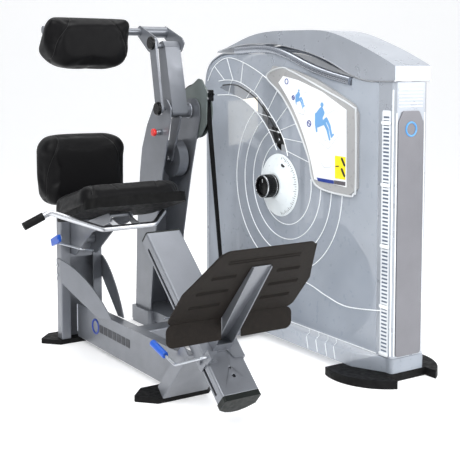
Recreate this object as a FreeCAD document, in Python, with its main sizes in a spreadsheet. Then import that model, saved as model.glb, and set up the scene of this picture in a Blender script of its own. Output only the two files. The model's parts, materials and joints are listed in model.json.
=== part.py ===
import FreeCAD, Part
import Sketcher
import math
import os
import re

# A selectorised seated back-extension station: a weight tower on the user's left, and beside it
# a seat, a lumbar pad, a foot plate on a sloping rail and a lever arm with an upper-back pad.
# Millimetres. +Z is up, the user faces -Y, and +X runs from the seat to the tower. Everything is
# drawn from the floor point under the tower's middle, then written out with its origin moved to the
# datum, a point on the floor face of the tower's near foot.

DIMENSIONS = {
    # datum
    "datum_x": -24, "datum_y": -650,
    # tower
    "tower_half_len": 735, "tower_half_wide": 93, "base_low": 35, "base_top": 100,
    "base_flare": 68, "base_skin": 8, "near_top": 1246, "far_top": 1130, "column_deep": 95,
    "far_deep": 35, "skin": 5,
    "cap_half_wide": 99, "cap_wall": 6, "rail_tube": 19,
    "foot_radius": 246, "foot_place": 586, "foot_chord": 500, "foot_thick": 35, "foot_x": -24,
    "notch_left": -125, "notch_right": 100,
    "dial_y": 60, "dial_z": 745, "dial_out": 38, "dial_edge": 150, "dial_neck": 62,
    "knob_radius": 54, "knob_long": 62, "knob_shaft": 12, "run_gap": 0.06,
    # weight stack and belt
    "plate_long": 280, "plate_wide": 110, "plate_thick": 22, "plate_gap": 0.5, "plate_low": 142,
    "plate_count": 11, "rod_radius": 12, "rod_spread": 95, "stem_outer": 22, "stem_inner": 17,
    "beam_low": 1243, "beam_high": 1283, "rod_top": 1096, "tube_wall": 4,
    "top_pulley_z": 1180, "top_pulley_r": 42, "low_pulley_z": 170, "low_pulley_r": 40,
    "flange_rise": 5, "rim_half": 20, "belt_wide": 27, "belt_thick": 3,
    "belt_gap": 0.4, "axle_radius": 8,
    # station
    "seat_x": -908, "post_half": 105, "post_front": 531, "post_back": 585, "post_top": 600,
    "sheet": 6, "lip": 46, "beam_half": 25, "beam_base": 26, "beam_top": 185,
    "cross_y": 190, "cross_half": 50, "cross_low": 20, "cross_top": 118,
    "pad_half_long": 185, "pad_half_deep": 75, "pad_thick": 22,
    "rail_low_y": -838, "rail_low_z": 143, "rail_long": 757, "rail_slope": 41.5,
    "rail_wide": 156, "rail_deep": 60, "rail_wall": 5,
    "leg_y": -415, "leg_long": 326, "leg_start": 34, "leg_half": 102, "leg_flange": 50,
    # upright and arm
    "upright_left": -513, "upright_right": -345, "pivot_y": 462, "pivot_z": 1093,
    "pivot_radius": 18, "pin_y": 470, "pin_z": 990,
    "arm_left": -473, "arm_wide": 85, "arm_half": 40, "arm_lean": 62,
    "arm_rise": 315, "link_fore": 42, "link_up": 14, "ear_left": -531, "link_half": 30, "link_thick": 12,
    "link_left": -549, "cam_left": -341, "cam_wide": 40, "cam_radius": 150, "belt_radius": 129.5,
    "belt_x": -321, "counter_radius": 92, "counter_thick": 50, "counter_y": 531,
    "counter_z": 853, "shaft_y": 640, "shaft_z": 1480, "shaft_radius": 19,
    # pads and seat
    "upper_left": -1103, "upper_long": 410, "lumbar_left": -1133, "lumbar_long": 436,
    "seat_tilt": 16.5, "seat_rear_y": 330, "seat_rear_z": 617, "seat_deep": 395,
    "seat_wide": 500, "seat_shift": 18, "pan_thick": 43, "cushion_thick": 62,
    "bar_radius": 12.5, "grip_radius": 17,
}

doc = FreeCAD.newDocument("BackExtension")
sheet = doc.addObject("Spreadsheet::Sheet", "Dims")
for row, (alias, size) in enumerate(DIMENSIONS.items(), start=1):
    sheet.set("A%d" % row, alias.replace("_", " "))
    sheet.set("B%d" % row, str(size))
    sheet.setAlias("B%d" % row, alias)
doc.recompute()

PIECES = []
AXES = {"x": FreeCAD.Vector(1, 0, 0), "y": FreeCAD.Vector(0, 1, 0), "z": FreeCAD.Vector(0, 0, 1)}
WORD = re.compile(r"[a-z][a-z_]+[a-z]")


def full(text):
    """The expression with each sheet alias written as a reference to the sheet."""
    return WORD.sub(lambda m: "Dims." + m.group(0) if m.group(0) in DIMENSIONS else m.group(0), str(text))


def num(text):
    """The value of an expression, in millimetres or degrees."""
    return float(sheet.evalExpression(full(text)))


def vec(x, y, z):
    return FreeCAD.Vector(num(x), num(y), num(z))


def place(obj, at, axis="x", angle="0"):
    """Binds a position to the sheet, and a turn about one axis."""
    obj.Placement = FreeCAD.Placement(vec(*at), FreeCAD.Rotation(AXES[axis], num(angle)))
    for name, text in zip("xyz", at):
        obj.setExpression("Placement.Base." + name, full(text))
    if num(angle):
        obj.setExpression("Placement.Rotation.Angle", full(angle))
    return obj


def piece(obj, label):
    obj.Label = label
    PIECES.append(obj)
    return obj


# ---------- primitives and booleans ----------

def block(size, at, axis="x", angle="0"):
    box = doc.addObject("Part::Box", "block")
    for prop, text in zip(("Length", "Width", "Height"), size):
        box.setExpression(prop, full(text))
    return place(box, at, axis, angle)


def cylinder(radius, length, at, along="z"):
    rod = doc.addObject("Part::Cylinder", "rod")
    rod.setExpression("Radius", full(radius))
    rod.setExpression("Height", full(length))
    turn = {"x": ("y", "90"), "y": ("x", "-90"), "z": ("x", "0")}[along]
    return place(rod, at, *turn)


def cone(wide, narrow, length, at, angle):
    tip = doc.addObject("Part::Cone", "cone")
    tip.setExpression("Radius1", full(wide))
    tip.setExpression("Radius2", full(narrow))
    tip.setExpression("Height", full(length))
    return place(tip, at, "y", angle)


def cut(base, *tools):
    for tool in tools:
        result = doc.addObject("Part::Cut", "cut")
        result.Base = base
        result.Tool = tool
        base = result
    return base


def fuse(*shapes):
    result = doc.addObject("Part::MultiFuse", "fuse")
    result.Shapes = list(shapes)
    return result


def common(*shapes):
    result = doc.addObject("Part::MultiCommon", "common")
    result.Shapes = list(shapes)
    return result


def group(*shapes):
    result = doc.addObject("Part::Compound", "group")
    result.Links = list(shapes)
    return result


def rounded(base, radius, along):
    """Rounds the straight edges of a primitive or boolean that run along one of its axes."""
    doc.recompute()
    result = doc.addObject("Part::Fillet", "rounded")
    result.Base = base
    size = num(radius)
    turned = base.Placement.Rotation.multVec(AXES[along])
    result.Edges = [(i, size, size) for i, edge in enumerate(base.Shape.Edges, start=1)
                    if runs(edge, turned)]
    return result


def runs(edge, direction):
    if edge.Curve.TypeId != "Part::GeomLine":
        return False
    return edge.tangentAt(edge.FirstParameter).cross(direction).Length < 1e-6


# ---------- sketched bodies ----------

def new_body(at=("0", "0", "0"), axis="x", angle="0"):
    return place(doc.addObject("PartDesign::Body", "body"), at, axis, angle)


def sketch(body, plane, offset="0"):
    page = body.newObject("Sketcher::SketchObject", "outline")
    page.AttachmentSupport = ([o for o in body.Origin.OriginFeatures if o.Role == plane + "_Plane"][0],
                              [""])
    page.MapMode = "FlatFace"
    page.setExpression("AttachmentOffset.Base.z", full(offset))
    return page


def pin_point(page, index, end, x, y):
    """Holds one point of a sketch at sheet-driven coordinates."""
    for kind, text, axis in (("DistanceX", x, -2), ("DistanceY", y, -1)):
        value = num(text)
        if abs(value) < 1e-9:
            page.addConstraint(Sketcher.Constraint("PointOnObject", index, end, axis))
        else:
            held = page.addConstraint(Sketcher.Constraint(kind, -1, 1, index, end, value))
            page.setExpression("Constraints[%d]" % held, full(text))


def polygon(page, points):
    first = page.GeometryCount
    spots = [FreeCAD.Vector(num(x), num(y), 0) for x, y in points]
    count = len(spots)
    for i in range(count):
        page.addGeometry(Part.LineSegment(spots[i], spots[(i + 1) % count]))
    for i in range(count):
        page.addConstraint(Sketcher.Constraint("Coincident", first + i, 2, first + (i + 1) % count, 1))
        pin_point(page, first + i, 1, *points[i])


def circle(page, x, y, radius):
    index = page.addGeometry(Part.Circle(FreeCAD.Vector(num(x), num(y), 0), AXES["z"], num(radius)))
    pin_point(page, index, 3, x, y)
    held = page.addConstraint(Sketcher.Constraint("Radius", index, num(radius)))
    page.setExpression("Constraints[%d]" % held, full(radius))


def pad(body, page, length, reversed_way=False):
    step = body.newObject("PartDesign::Pad", "pad")
    step.Profile = page
    step.Reversed = reversed_way
    step.setExpression("Length", full(length))
    doc.recompute()
    return step


def pocket(body, page, length, reversed_way=True):
    """Cuts along the sketch's normal, and makes sure that it removed something."""
    before = body.Tip.Shape.Volume
    step = body.newObject("PartDesign::Pocket", "pocket")
    step.Profile = page
    step.Reversed = reversed_way
    step.setExpression("Length", full(length))
    doc.recompute()
    if step.Shape.Volume > before - 1:
        raise RuntimeError("a pocket in %s cut nothing" % body.Label)
    return step


def soften(body, radius, along, keep=None):
    """Rounds the body's straight edges along one axis."""
    names = ["Edge%d" % i for i, edge in enumerate(body.Tip.Shape.Edges, start=1)
             if runs(edge, AXES[along]) and (keep is None or keep(edge.CenterOfMass))]
    step = body.newObject("PartDesign::Fillet", "soften")
    step.Base = (body.Tip.Name and body.Group[-2], names)
    step.setExpression("Radius", full(radius))
    doc.recompute()
    return step


def plate(plane, points, offset, thick, holes=(), at=("0", "0", "0"), angle="0", reversed_way=False):
    """A flat or folded part: one outline with round holes, given a thickness."""
    body = new_body(at, "x", angle)
    page = sketch(body, plane, offset)
    polygon(page, points)
    for hole in holes:
        circle(page, *hole)
    pad(body, page, thick, reversed_way)
    return body


# ---------- freely curved shapes ----------

def smooth(points, x):
    """A curve through (y, z) points in the plane at x."""
    curve = Part.BSplineCurve()
    curve.interpolate([FreeCAD.Vector(x, y, z) for y, z in points])
    return curve.toShape()


def line(a, b):
    return Part.LineSegment(a, b).toShape()


def chain(edges):
    return Part.Wire(Part.__sortEdges__(edges))


def feature(shape, label):
    made = doc.addObject("Part::Feature", label)
    made.Shape = shape
    return piece(made, label)


def tube(points, radius, bend):
    """A round bar along straight runs, with bends of one radius."""
    spine = bent(points, bend)
    start = spine.Edges[0]
    heading = start.tangentAt(start.FirstParameter)
    ring = Part.Wire([Part.Circle(points[0], heading, radius).toShape()])
    return spine.makePipeShell([ring], True, False)


def bent(points, bend):
    """A polyline whose corners are arcs of one radius."""
    edges = []
    start = points[0]
    for before, corner, after in zip(points, points[1:], points[2:]):
        inward = (before - corner).normalize()
        outward = (after - corner).normalize()
        half = inward.getAngle(outward) / 2
        back = bend / math.tan(half)
        middle = (inward + outward).normalize() * (bend / math.sin(half) - bend)
        edges.append(line(start, corner + inward * back))
        edges.append(Part.Arc(corner + inward * back, corner + middle, corner + outward * back).toShape())
        start = corner + outward * back
    edges.append(line(start, points[-1]))
    return Part.Wire(edges)


# ---------- tower: shell ----------

TOP_CURVE = [(600, 1388), (464, 1418), (311, 1457), (132, 1476), (-97, 1475), (-308, 1462),
             (-451, 1424), (-600, 1372), (-742, 1312)]
LIP_CURVE = [(-742, 1250), (-651, 1248), (-558, 1252), (-480, 1270), (-425, 1289), (-294, 1339),
             (-146, 1377), (10, 1403), (109, 1416), (300, 1419), (500, 1403), (600, 1380)]
RAIL_CURVE = [(427, 1389), (277, 1394), (115, 1388), (-38, 1352), (-140, 1319), (-252, 1288),
              (-395, 1259), (-462, 1247)]
HOOD_CURVE = [(735, 1130), (733, 1225), (703, 1308), (616, 1362), (560, 1377)]


def base_outline(inset):
    """Half-round in plan: straight along the wall, flared on the user's side."""
    wide = "(tower_half_wide - %s)" % inset
    end = "(tower_half_len - %s)" % inset
    flare = "(-tower_half_wide - base_flare + %s)" % inset
    return [("-" + wide, "-" + end), (wide, "-" + end), (wide, end), ("-" + wide, end),
            ("-" + wide, end + " - far_deep"), (flare, end + " - 5 * far_deep"),
            (flare, "5 * far_deep - " + end), ("-" + wide, "far_deep - " + end)]


def tower_base():
    """A pan with its open side down."""
    body = plate("XY", base_outline("0"), "base_low", "base_top - base_low")
    soften(body, "16", "z")
    soften(body, "6", "y", lambda at: at.z > num("base_top") - 1)
    inside = plate("XY", base_outline("base_skin"), "base_low - 1", "base_top - base_low + 1 - base_skin")
    piece(cut(body, inside), "tower_base")


def tower_feet():
    """A round-fronted rubber-edged foot under each end of the tower, notched round the column."""
    feet = []
    for sign in (-1, 1):
        disc = cylinder("foot_radius", "foot_thick", ("foot_x", "%d * foot_place" % sign, "0"))
        start = "-foot_place - foot_radius" if sign < 0 else "foot_chord"
        keep = block(("2 * foot_radius", "foot_place + foot_radius - foot_chord", "foot_thick"),
                     ("foot_x - foot_radius", start, "0"))
        notch = block(("notch_right - notch_left", "foot_radius", "foot_thick"),
                      ("notch_left", "tower_half_len" if sign > 0 else "-tower_half_len - foot_radius",
                       "0"))
        feet.append(cut(common(disc, keep), notch))
    piece(group(*feet), "tower_feet")


def column(label, near):
    """A bent sheet that closes one end of the tower: a U in plan."""
    sign = "-" if near else ""
    inner = "%s(tower_half_len - %s)" % (sign, "column_deep" if near else "far_deep")
    outer = "%stower_half_len" % sign
    face = "%s(tower_half_len - sheet)" % sign
    wide = "tower_half_wide"
    thin = "(tower_half_wide - sheet)"
    body = plate("XY", [("-" + wide, inner), ("-" + wide, outer), (wide, outer), (wide, inner),
                        (thin, inner), (thin, face), ("-" + thin, face), ("-" + thin, inner)],
                 "base_top", ("near_top" if near else "far_top") + " - base_top")
    soften(body, "20", "z", lambda at: abs(at.y) > num("tower_half_len") - 1)
    if near:
        piece(body, label)
        return
    outer = smooth(HOOD_CURVE, -num("tower_half_wide"))
    inner = smooth([(y - 5, z - 4 if z > 1131 else z) for y, z in HOOD_CURVE], -num("tower_half_wide"))
    ends = [line(a, b) for a, b in ((outer.Vertexes[0].Point, inner.Vertexes[0].Point),
                                    (inner.Vertexes[-1].Point, outer.Vertexes[-1].Point))]
    hood = Part.Face(chain([outer, inner] + ends)).extrude(vec("2 * tower_half_wide", "0", "0"))
    doc.recompute()
    feature(hood.fuse(body.Shape), label)


def column_trim():
    body = plate("XZ", [("-75", "105"), ("64", "105"), ("64", "1080"), ("40", "1128"),
                        ("-50", "1128"), ("-75", "1080")], "tower_half_len", "5")
    soften(body, "14", "y")
    piece(body, "column_trim")


def vent_strip():
    slots = [block(("8", "36", "8"), ("-100", "-708", "122 + %d * 16" % i)) for i in range(62)]
    bar = rounded(block(("4", "48", "1026"), ("-tower_half_wide - 4", "-714", "104")), "8", "x")
    piece(cut(bar, group(*slots)), "vent_strip")


def skin_outline(x):
    """The side of the tower: between the two columns, under the hood, the rail and the cap."""
    near = num("column_deep - tower_half_len")
    far = num("tower_half_len - far_deep") - 0.5
    drop = num("rail_tube") + 1
    low = num("base_top")
    hood = smooth([(728, 1131), (726, 1218), (696, 1298), (612, 1350), (540, 1366), (430, 1368)], x)
    rail = smooth([(y, z - drop) for y, z in RAIL_CURVE], x)
    corners = [(-466, rail.Vertexes[-1].Z), (-466, 1262), (-560, 1246), (near + 0.5, 1244),
               (near + 0.5, low), (far, low), (far, 1131), (728, 1131)]
    points = [rail.Vertexes[-1].Point] + [FreeCAD.Vector(x, y, z) for y, z in corners]
    edges = [hood, line(hood.Vertexes[-1].Point, rail.Vertexes[0].Point), rail]
    return chain(edges + [line(a, b) for a, b in zip(points, points[1:])])


def window_outline(x):
    """The eye-shaped opening beside the dial."""
    upper = smooth([(590, 1200), (440, 1222), (240, 1165), (113, 1063), (23, 963), (10, 905)], x)
    lower = smooth([(10, 905), (79, 925), (154, 1008), (283, 1105), (436, 1160), (590, 1200)], x)
    return chain([upper, lower])


def tower_skins():
    depth = num("skin")
    user_x = -num("tower_half_wide")
    face = Part.Face(skin_outline(user_x)).extrude(FreeCAD.Vector(depth, 0, 0))
    window = Part.Face(window_outline(user_x - 1)).extrude(FreeCAD.Vector(depth + 2, 0, 0))
    dial = Part.makeCylinder(100, depth + 2, vec("-tower_half_wide - 1", "dial_y", "dial_z"), AXES["x"])
    belt_gate = Part.makeBox(depth + 2, 50, 40, vec("-tower_half_wide - 1", "cross_y - 25", "base_top + 8"))
    feature(face.cut(window).cut(dial).cut(belt_gate), "user_shroud")
    wall_x = num("tower_half_wide") - depth
    feature(Part.Face(skin_outline(wall_x)).extrude(FreeCAD.Vector(depth, 0, 0)), "wall_shroud")


def cap_slab(half_wide, drop, inset):
    """The cap's side outline, moved down and in, across a width."""
    end = TOP_CURVE[-1][0] + inset
    top = [(min(max(y, end), TOP_CURVE[0][0] - inset), z - drop) for y, z in TOP_CURVE]
    low = [(max(y, end), z - (60 if drop else 0)) for y, z in LIP_CURVE]
    low[-1] = (top[0][0], low[-1][1])
    edges = [smooth(top, -half_wide), smooth(low, -half_wide)]
    for a, b in ((top[-1], low[0]), (low[-1], top[0])):
        edges.append(line(FreeCAD.Vector(-half_wide, *a), FreeCAD.Vector(-half_wide, *b)))
    return Part.Face(chain(edges)).extrude(FreeCAD.Vector(2 * half_wide, 0, 0))


def tower_cap():
    half = num("cap_half_wide")
    wall = num("cap_wall")
    feature(cap_slab(half, 0, 0).cut(cap_slab(half - wall, wall, wall)), "tower_cap")


def top_rail():
    rails = []
    for side in (-1, 1):
        x = side * (num("tower_half_wide") + 1)
        spine = Part.Wire([smooth(RAIL_CURVE, x)])
        start = spine.Edges[0]
        heading = start.tangentAt(start.FirstParameter)
        ring = Part.Wire([Part.Circle(FreeCAD.Vector(x, *RAIL_CURVE[0]), heading,
                                      num("rail_tube")).toShape()])
        rails.append(spine.makePipeShell([ring], True, False))
    feature(Part.makeCompound(rails), "top_rail")


def placard():
    """A raised holder below the cap, with a plain card on it. Its lower side is a hollow arc."""
    x = -num("tower_half_wide")
    low = Part.Arc(FreeCAD.Vector(x, -223, 774), FreeCAD.Vector(x, -60, 1080), FreeCAD.Vector(x, 150, 1262))
    rim = [(150, 1262), (98, 1312), (20, 1306), (-67, 1294), (-240, 1249), (-371, 1200), (-496, 1146),
           (-520, 1108), (-520, 790), (-461, 747), (-223, 774)]
    sides = [line(FreeCAD.Vector(x, *a), FreeCAD.Vector(x, *b)) for a, b in zip(rim, rim[1:])]
    holder = Part.Face(chain(sides + [low.toShape()])).extrude(FreeCAD.Vector(-14, 0, 0))
    feature(holder, "placard_holder")
    x -= 14
    low = Part.Arc(FreeCAD.Vector(x, -230, 802), FreeCAD.Vector(x, -105, 1065), FreeCAD.Vector(x, 49, 1233))
    rim = [(49, 1233), (12, 1265), (-103, 1247), (-280, 1198), (-449, 1123), (-454, 789), (-230, 802)]
    sides = [line(FreeCAD.Vector(x, *a), FreeCAD.Vector(x, *b)) for a, b in zip(rim, rim[1:])]
    feature(Part.Face(chain(sides + [low.toShape()])).extrude(FreeCAD.Vector(-2, 0, 0)), "placard_card")


# ---------- tower: dial, weights, belt ----------

def dial():
    face = ("-tower_half_wide", "dial_y", "dial_z")
    disc = cone("dial_edge", "dial_neck", "dial_out", face, "-90")
    neck = cylinder("90", "30", ("-tower_half_wide", "dial_y", "dial_z"), "x")
    bore = cylinder("knob_shaft + run_gap", "200", ("-tower_half_wide - 100", "dial_y", "dial_z"), "x")
    piece(cut(fuse(disc, neck), bore), "dial_disc")
    front = "-tower_half_wide - dial_out - 1.5"
    grip = cylinder("knob_radius", "knob_long", (front + " - knob_long", "dial_y", "dial_z"), "x")
    shaft = cylinder("knob_shaft", "90", (front + " - 2", "dial_y", "dial_z"), "x")
    dish = cylinder("knob_radius - 14", "8", (front + " - knob_long - 1", "dial_y", "dial_z"), "x")
    piece(cut(fuse(grip, shaft), dish), "dial_knob")


def tower_frame():
    """A welded goalpost of square tube on a floor plate, with a bridge that holds the guide rods."""
    low = "base_top"
    tall = "beam_low - base_top"
    inner = "50 - 2 * tube_wall"
    posts = [block(("50", "50", tall), ("-25", y, low)) for y in ("-240", "250")]
    bores = [block((inner, inner, tall), ("tube_wall - 25", y + " + tube_wall", low + " - tube_wall"))
             for y in ("-240", "250")]
    top = block(("50", "540", "beam_high - beam_low"), ("-25", "-240", "beam_low"))
    bores.append(block((inner, "560", "beam_high - beam_low - 2 * tube_wall"),
                       ("tube_wall - 25", "-250", "beam_low + tube_wall")))
    floor = block(("120", "540", "8"), ("-60", "-240", low))
    bridge = block(("60", "500", "12"), ("-30", "-220", "rod_top"))
    gates = [block(("2 * rim_half", "30", "40"), ("-rim_half", y + " - 15", "rod_top - 10"))
             for y in ("0", "cross_y")]
    piece(cut(fuse(top, floor, bridge, *posts), *bores, *gates), "tower_frame")


def guide_rods():
    rods = [cylinder("rod_radius", "rod_top - base_top - 8", ("0", "%srod_spread" % sign, "base_top + 8"))
            for sign in ("-", "")]
    piece(group(*rods), "guide_rods")
    rings = [cut(cylinder("22", "plate_low - base_top - 10", ("0", "%srod_spread" % sign, "base_top + 8")),
                 cylinder("rod_radius", "200", ("0", "%srod_spread" % sign, "base_top")))
             for sign in ("-", "")]
    piece(group(*rings), "stack_cushions")


def weight_plate(level, middle):
    body = plate("XY", [("-plate_wide / 2", "-plate_long / 2"), ("plate_wide / 2", "-plate_long / 2"),
                        ("plate_wide / 2", "plate_long / 2"), ("-plate_wide / 2", "plate_long / 2")],
                 "plate_low + %d * (plate_thick + plate_gap)" % level, "plate_thick",
                 [("0", "-rod_spread", "rod_radius + 0.6"), ("0", "rod_spread", "rod_radius + 0.6"),
                  ("0", "0", middle)])
    return body


def weights():
    count = int(num("plate_count"))
    piece(group(*[weight_plate(i, "stem_outer + 1.5") for i in range(count)]), "weight_stack")
    moving = [weight_plate(count + i, "stem_inner") for i in range(3)]
    stem = cut(cylinder("stem_outer", "(plate_count + 3) * (plate_thick + plate_gap) - 8",
                        ("0", "0", "plate_low + 4")),
               cylinder("stem_inner", "500", ("0", "0", "plate_low")))
    piece(fuse(*moving, stem), "lifted_weights")


def pulley(label, radius, at, along):
    """A grooved belt wheel, turning on its axle."""
    half = {"x": ("rim_half", "0", "0"), "y": ("0", "rim_half", "0")}[along]
    start = tuple("%s - (%s)" % (a, b) for a, b in zip(at, half))
    body = new_body(start, *{"x": ("y", "90"), "y": ("x", "-90")}[along])
    page = sketch(body, "XY")
    circle(page, "0", "0", radius + " + flange_rise")
    circle(page, "0", "0", "axle_radius + run_gap")
    pad(body, page, "2 * rim_half")
    groove = sketch(body, "XY", "3")
    circle(groove, "0", "0", radius + " + flange_rise + 5")
    circle(groove, "0", "0", radius)
    pocket(body, groove, "2 * rim_half - 6")
    piece(body, label)


LOW_PULLEYS = {"lower_pulley": "belt_x + low_pulley_r + belt_gap + belt_thick / 2",
               "inner_pulley": "-(low_pulley_r + belt_gap + belt_thick / 2)"}
TOP_PULLEYS = {"top_pulley_far": "cross_y - top_pulley_r - belt_gap - belt_thick / 2",
               "top_pulley_near": "top_pulley_r + belt_gap + belt_thick / 2"}


def pulleys():
    for label, x in LOW_PULLEYS.items():
        pulley(label, "low_pulley_r", (x, "cross_y", "low_pulley_z"), "y")
    for label, y in TOP_PULLEYS.items():
        pulley(label, "top_pulley_r", ("0", y, "top_pulley_z"), "x")


def pulley_brackets():
    """Forked plates and axles: two forks stand on the beam and the floor plate, two hang in the frame."""
    parts = []
    sides = ("- rim_half - 6", "+ rim_half + 1")
    for label, x in LOW_PULLEYS.items():
        floor = "cross_top" if label == "lower_pulley" else "(base_top + 8)"
        for side in sides:
            parts.append(block(("26", "5", "low_pulley_z + 16 - " + floor),
                               (x + " - 13", "cross_y " + side, floor)))
        parts.append(cylinder("axle_radius", "2 * rim_half + 12",
                              (x, "cross_y - rim_half - 6", "low_pulley_z"), "y"))
    for y in TOP_PULLEYS.values():
        for side in sides:
            parts.append(block(("5", "26", "beam_low - top_pulley_z + 16"),
                               ("0 " + side, y + " - 13", "top_pulley_z - 16")))
        parts.append(cylinder("axle_radius", "2 * rim_half + 12", ("-rim_half - 6", y, "top_pulley_z"),
                              "x"))
    pairs = [fuse(*parts[i:i + 3]) for i in range(0, len(parts), 3)]
    piece(group(*pairs), "pulley_brackets")


def strip(middle, width, thickness):
    """A rectangle round a point: a cross-section of the belt."""
    w = width * (num("belt_wide") / 2)
    t = thickness * (num("belt_thick") / 2)
    corners = [middle + w + t, middle + w - t, middle - w - t, middle - w + t]
    return Part.makePolygon(corners + corners[:1])


def wrap(centre, axis, radius, start, turn):
    """The belt's quarter turn round a pulley: from the start direction, by a signed angle."""
    middle = centre + start * (radius + num("belt_gap") + num("belt_thick") / 2)
    face = Part.Face(strip(middle, axis, start))
    return face.revolve(centre, axis, turn)


def belt():
    ex, ey, ez = AXES["x"], AXES["y"], AXES["z"]
    reach = math.hypot(117, 707)
    slope = FreeCAD.Vector(0, -117 / reach, -707 / reach)
    normal = FreeCAD.Vector(0, slope.z, -slope.y)
    pivot = vec("belt_x", "pivot_y", "pivot_z")
    top = pivot + normal * num("belt_radius") - slope * 22
    x_low, x_in = [num(text) for text in LOW_PULLEYS.values()]
    y_far, y_near = [num(text) for text in TOP_PULLEYS.values()]
    cross = num("cross_y")
    low_z = num("low_pulley_z")
    high_z = num("top_pulley_z")
    low_r = num("low_pulley_r")
    top_r = num("top_pulley_r")
    run = low_r + num("belt_gap") + num("belt_thick") / 2
    rise = top_r + num("belt_gap") + num("belt_thick") / 2
    V = FreeCAD.Vector
    runs_of_belt = [
        Part.makeLoft([strip(top, ex, normal), strip(V(x_low - run, cross, low_z), ey, -ex)], True, True),
        wrap(V(x_low, cross, low_z), ey, low_r, -ex, -90),
        Part.makeLoft([strip(V(x_low, cross, low_z - run), ey, ez),
                       strip(V(x_in, cross, low_z - run), ey, ez)], True, True),
        wrap(V(x_in, cross, low_z), ey, low_r, -ez, -90),
        Part.makeLoft([strip(V(0, cross, low_z), ey, -ex), strip(V(0, cross, high_z), ex, ey)], True, True),
        wrap(V(0, y_far, high_z), ex, top_r, ey, 90),
        Part.makeLoft([strip(V(0, y_far, high_z + rise), ex, ez),
                       strip(V(0, y_near, high_z + rise), ex, ez)], True, True),
        wrap(V(0, y_near, high_z), ex, top_r, ez, 90),
        Part.makeLoft([strip(V(0, 0, high_z), ex, ey), strip(V(0, 0, 440), ex, ey)], True, True),
    ]
    feature(Part.makeCompound(runs_of_belt), "drive_belt")


# ---------- station: frame ----------

def cross_beam():
    beam = block(("-tower_half_wide - base_flare - 8 - seat_x - beam_half", "2 * cross_half",
                  "cross_top - cross_low"),
                 ("seat_x + beam_half", "cross_y - cross_half", "cross_low"))
    hollow = block(("-tower_half_wide - base_flare - 20 - seat_x - beam_half",
                    "2 * cross_half - 2 * rail_wall",
                    "cross_top - cross_low - 2 * rail_wall"),
                   ("seat_x + beam_half + 6", "cross_y - cross_half + rail_wall", "cross_low + rail_wall"))
    flange = block(("8", "2 * cross_half + 60", "60"),
                   ("-tower_half_wide - base_flare - 8", "cross_y - cross_half - 30", "base_low + 3"))
    piece(fuse(cut(rounded(beam, "6", "x"), hollow), flange), "cross_beam")


def main_beam():
    body = plate("YZ", [("post_front", "beam_base"), ("leg_y - beam_base * tan(rail_slope)", "beam_base"),
                        ("leg_y - (beam_top + 8) * tan(rail_slope)", "beam_top + 8"), ("post_front",
                                                                                       "beam_top")],
                 "seat_x - beam_half", "2 * beam_half")
    soften(body, "6", "y")
    hollow = plate("YZ", [("post_front + 1", "beam_base + 6"), ("leg_y + 12", "beam_base + 6"),
                          ("leg_y - beam_top * tan(rail_slope) + 30", "beam_top"), ("post_front + 1",
                                                                                    "beam_top - 6")],
                   "seat_x - beam_half + 6", "2 * beam_half - 12")
    piece(cut(body, hollow), "main_beam")


def seat_post():
    half = "post_half"
    wall = "(post_half - sheet)"
    body = new_body(("seat_x", "0", "pad_thick"))
    page = sketch(body, "XY")
    polygon(page, [("-" + half, "post_front"), ("-" + half, "post_back"), (half, "post_back"),
                   (half, "post_front"),
                   ("post_half - lip", "post_front"), ("post_half - lip", "post_front + sheet"),
                   (wall, "post_front + sheet"), (wall, "post_back - sheet"), ("-" + wall,
                                                                               "post_back - sheet"),
                   ("-" + wall, "post_front + sheet"), ("lip - post_half", "post_front + sheet"),
                   ("lip - post_half", "post_front")])
    pad(body, page, "post_top - pad_thick")
    soften(body, "5", "z", lambda at: abs(at.x) > num("post_half") - 1)
    piece(body, "seat_post")


def post_gussets():
    """A bowed plate on each side, from the post's flank forward and inward to the main beam."""
    plates = []
    half = num("post_half")
    reach = 386.0
    toe_in = math.degrees(math.atan((half - num("beam_half") - 1) / reach))
    rear = num("post_front")
    for side in (-1, 1):
        outer = Part.Arc(FreeCAD.Vector(0, 0, 405), FreeCAD.Vector(0, -215, 330),
                         FreeCAD.Vector(0, -reach, 190))
        inner = Part.Arc(FreeCAD.Vector(0, -reach + 95, 178), FreeCAD.Vector(0, -165, 230),
                         FreeCAD.Vector(0, 0, 300))
        ends = [line(FreeCAD.Vector(0, -reach, 190), FreeCAD.Vector(0, 95 - reach, 178)),
                line(FreeCAD.Vector(0, 0, 300), FreeCAD.Vector(0, 0, 405))]
        web = Part.Face(chain([outer.toShape(), inner.toShape()] + ends)).extrude(FreeCAD.Vector(side * 5,
                                                                                                 0, 0))
        web.rotate(FreeCAD.Vector(0, 0, 0), AXES["z"], -side * toe_in)
        lap = Part.makeBox(5, 46, 105, FreeCAD.Vector(0 if side > 0 else -5, -2, 300))
        web = web.fuse(lap)
        web.translate(FreeCAD.Vector(num("seat_x") + side * half, rear, 0))
        plates.append(web)
    feature(Part.makeCompound(plates), "post_gussets")


LEG_AT = ("seat_x", "leg_y", "0")
RAIL_AT = ("seat_x", "rail_low_y", "rail_low_z")


def front_leg():
    """A folded sheet, square to the rail, from the floor pad to the underside of the rail."""
    body = new_body(LEG_AT, "x", "rail_slope")
    page = sketch(body, "XY", "leg_start")
    half = "leg_half"
    wall = "(leg_half - sheet)"
    polygon(page, [("-" + half, "-sheet"), (half, "-sheet"), (half, "leg_flange"), (wall, "leg_flange"),
                   (wall, "0"), ("-" + wall, "0"), ("-" + wall, "leg_flange"), ("-" + half, "leg_flange")])
    pad(body, page, "leg_long - leg_start")
    soften(body, "5", "z", lambda at: at.y < -num("sheet") + 0.1)
    piece(body, "front_leg")


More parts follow.
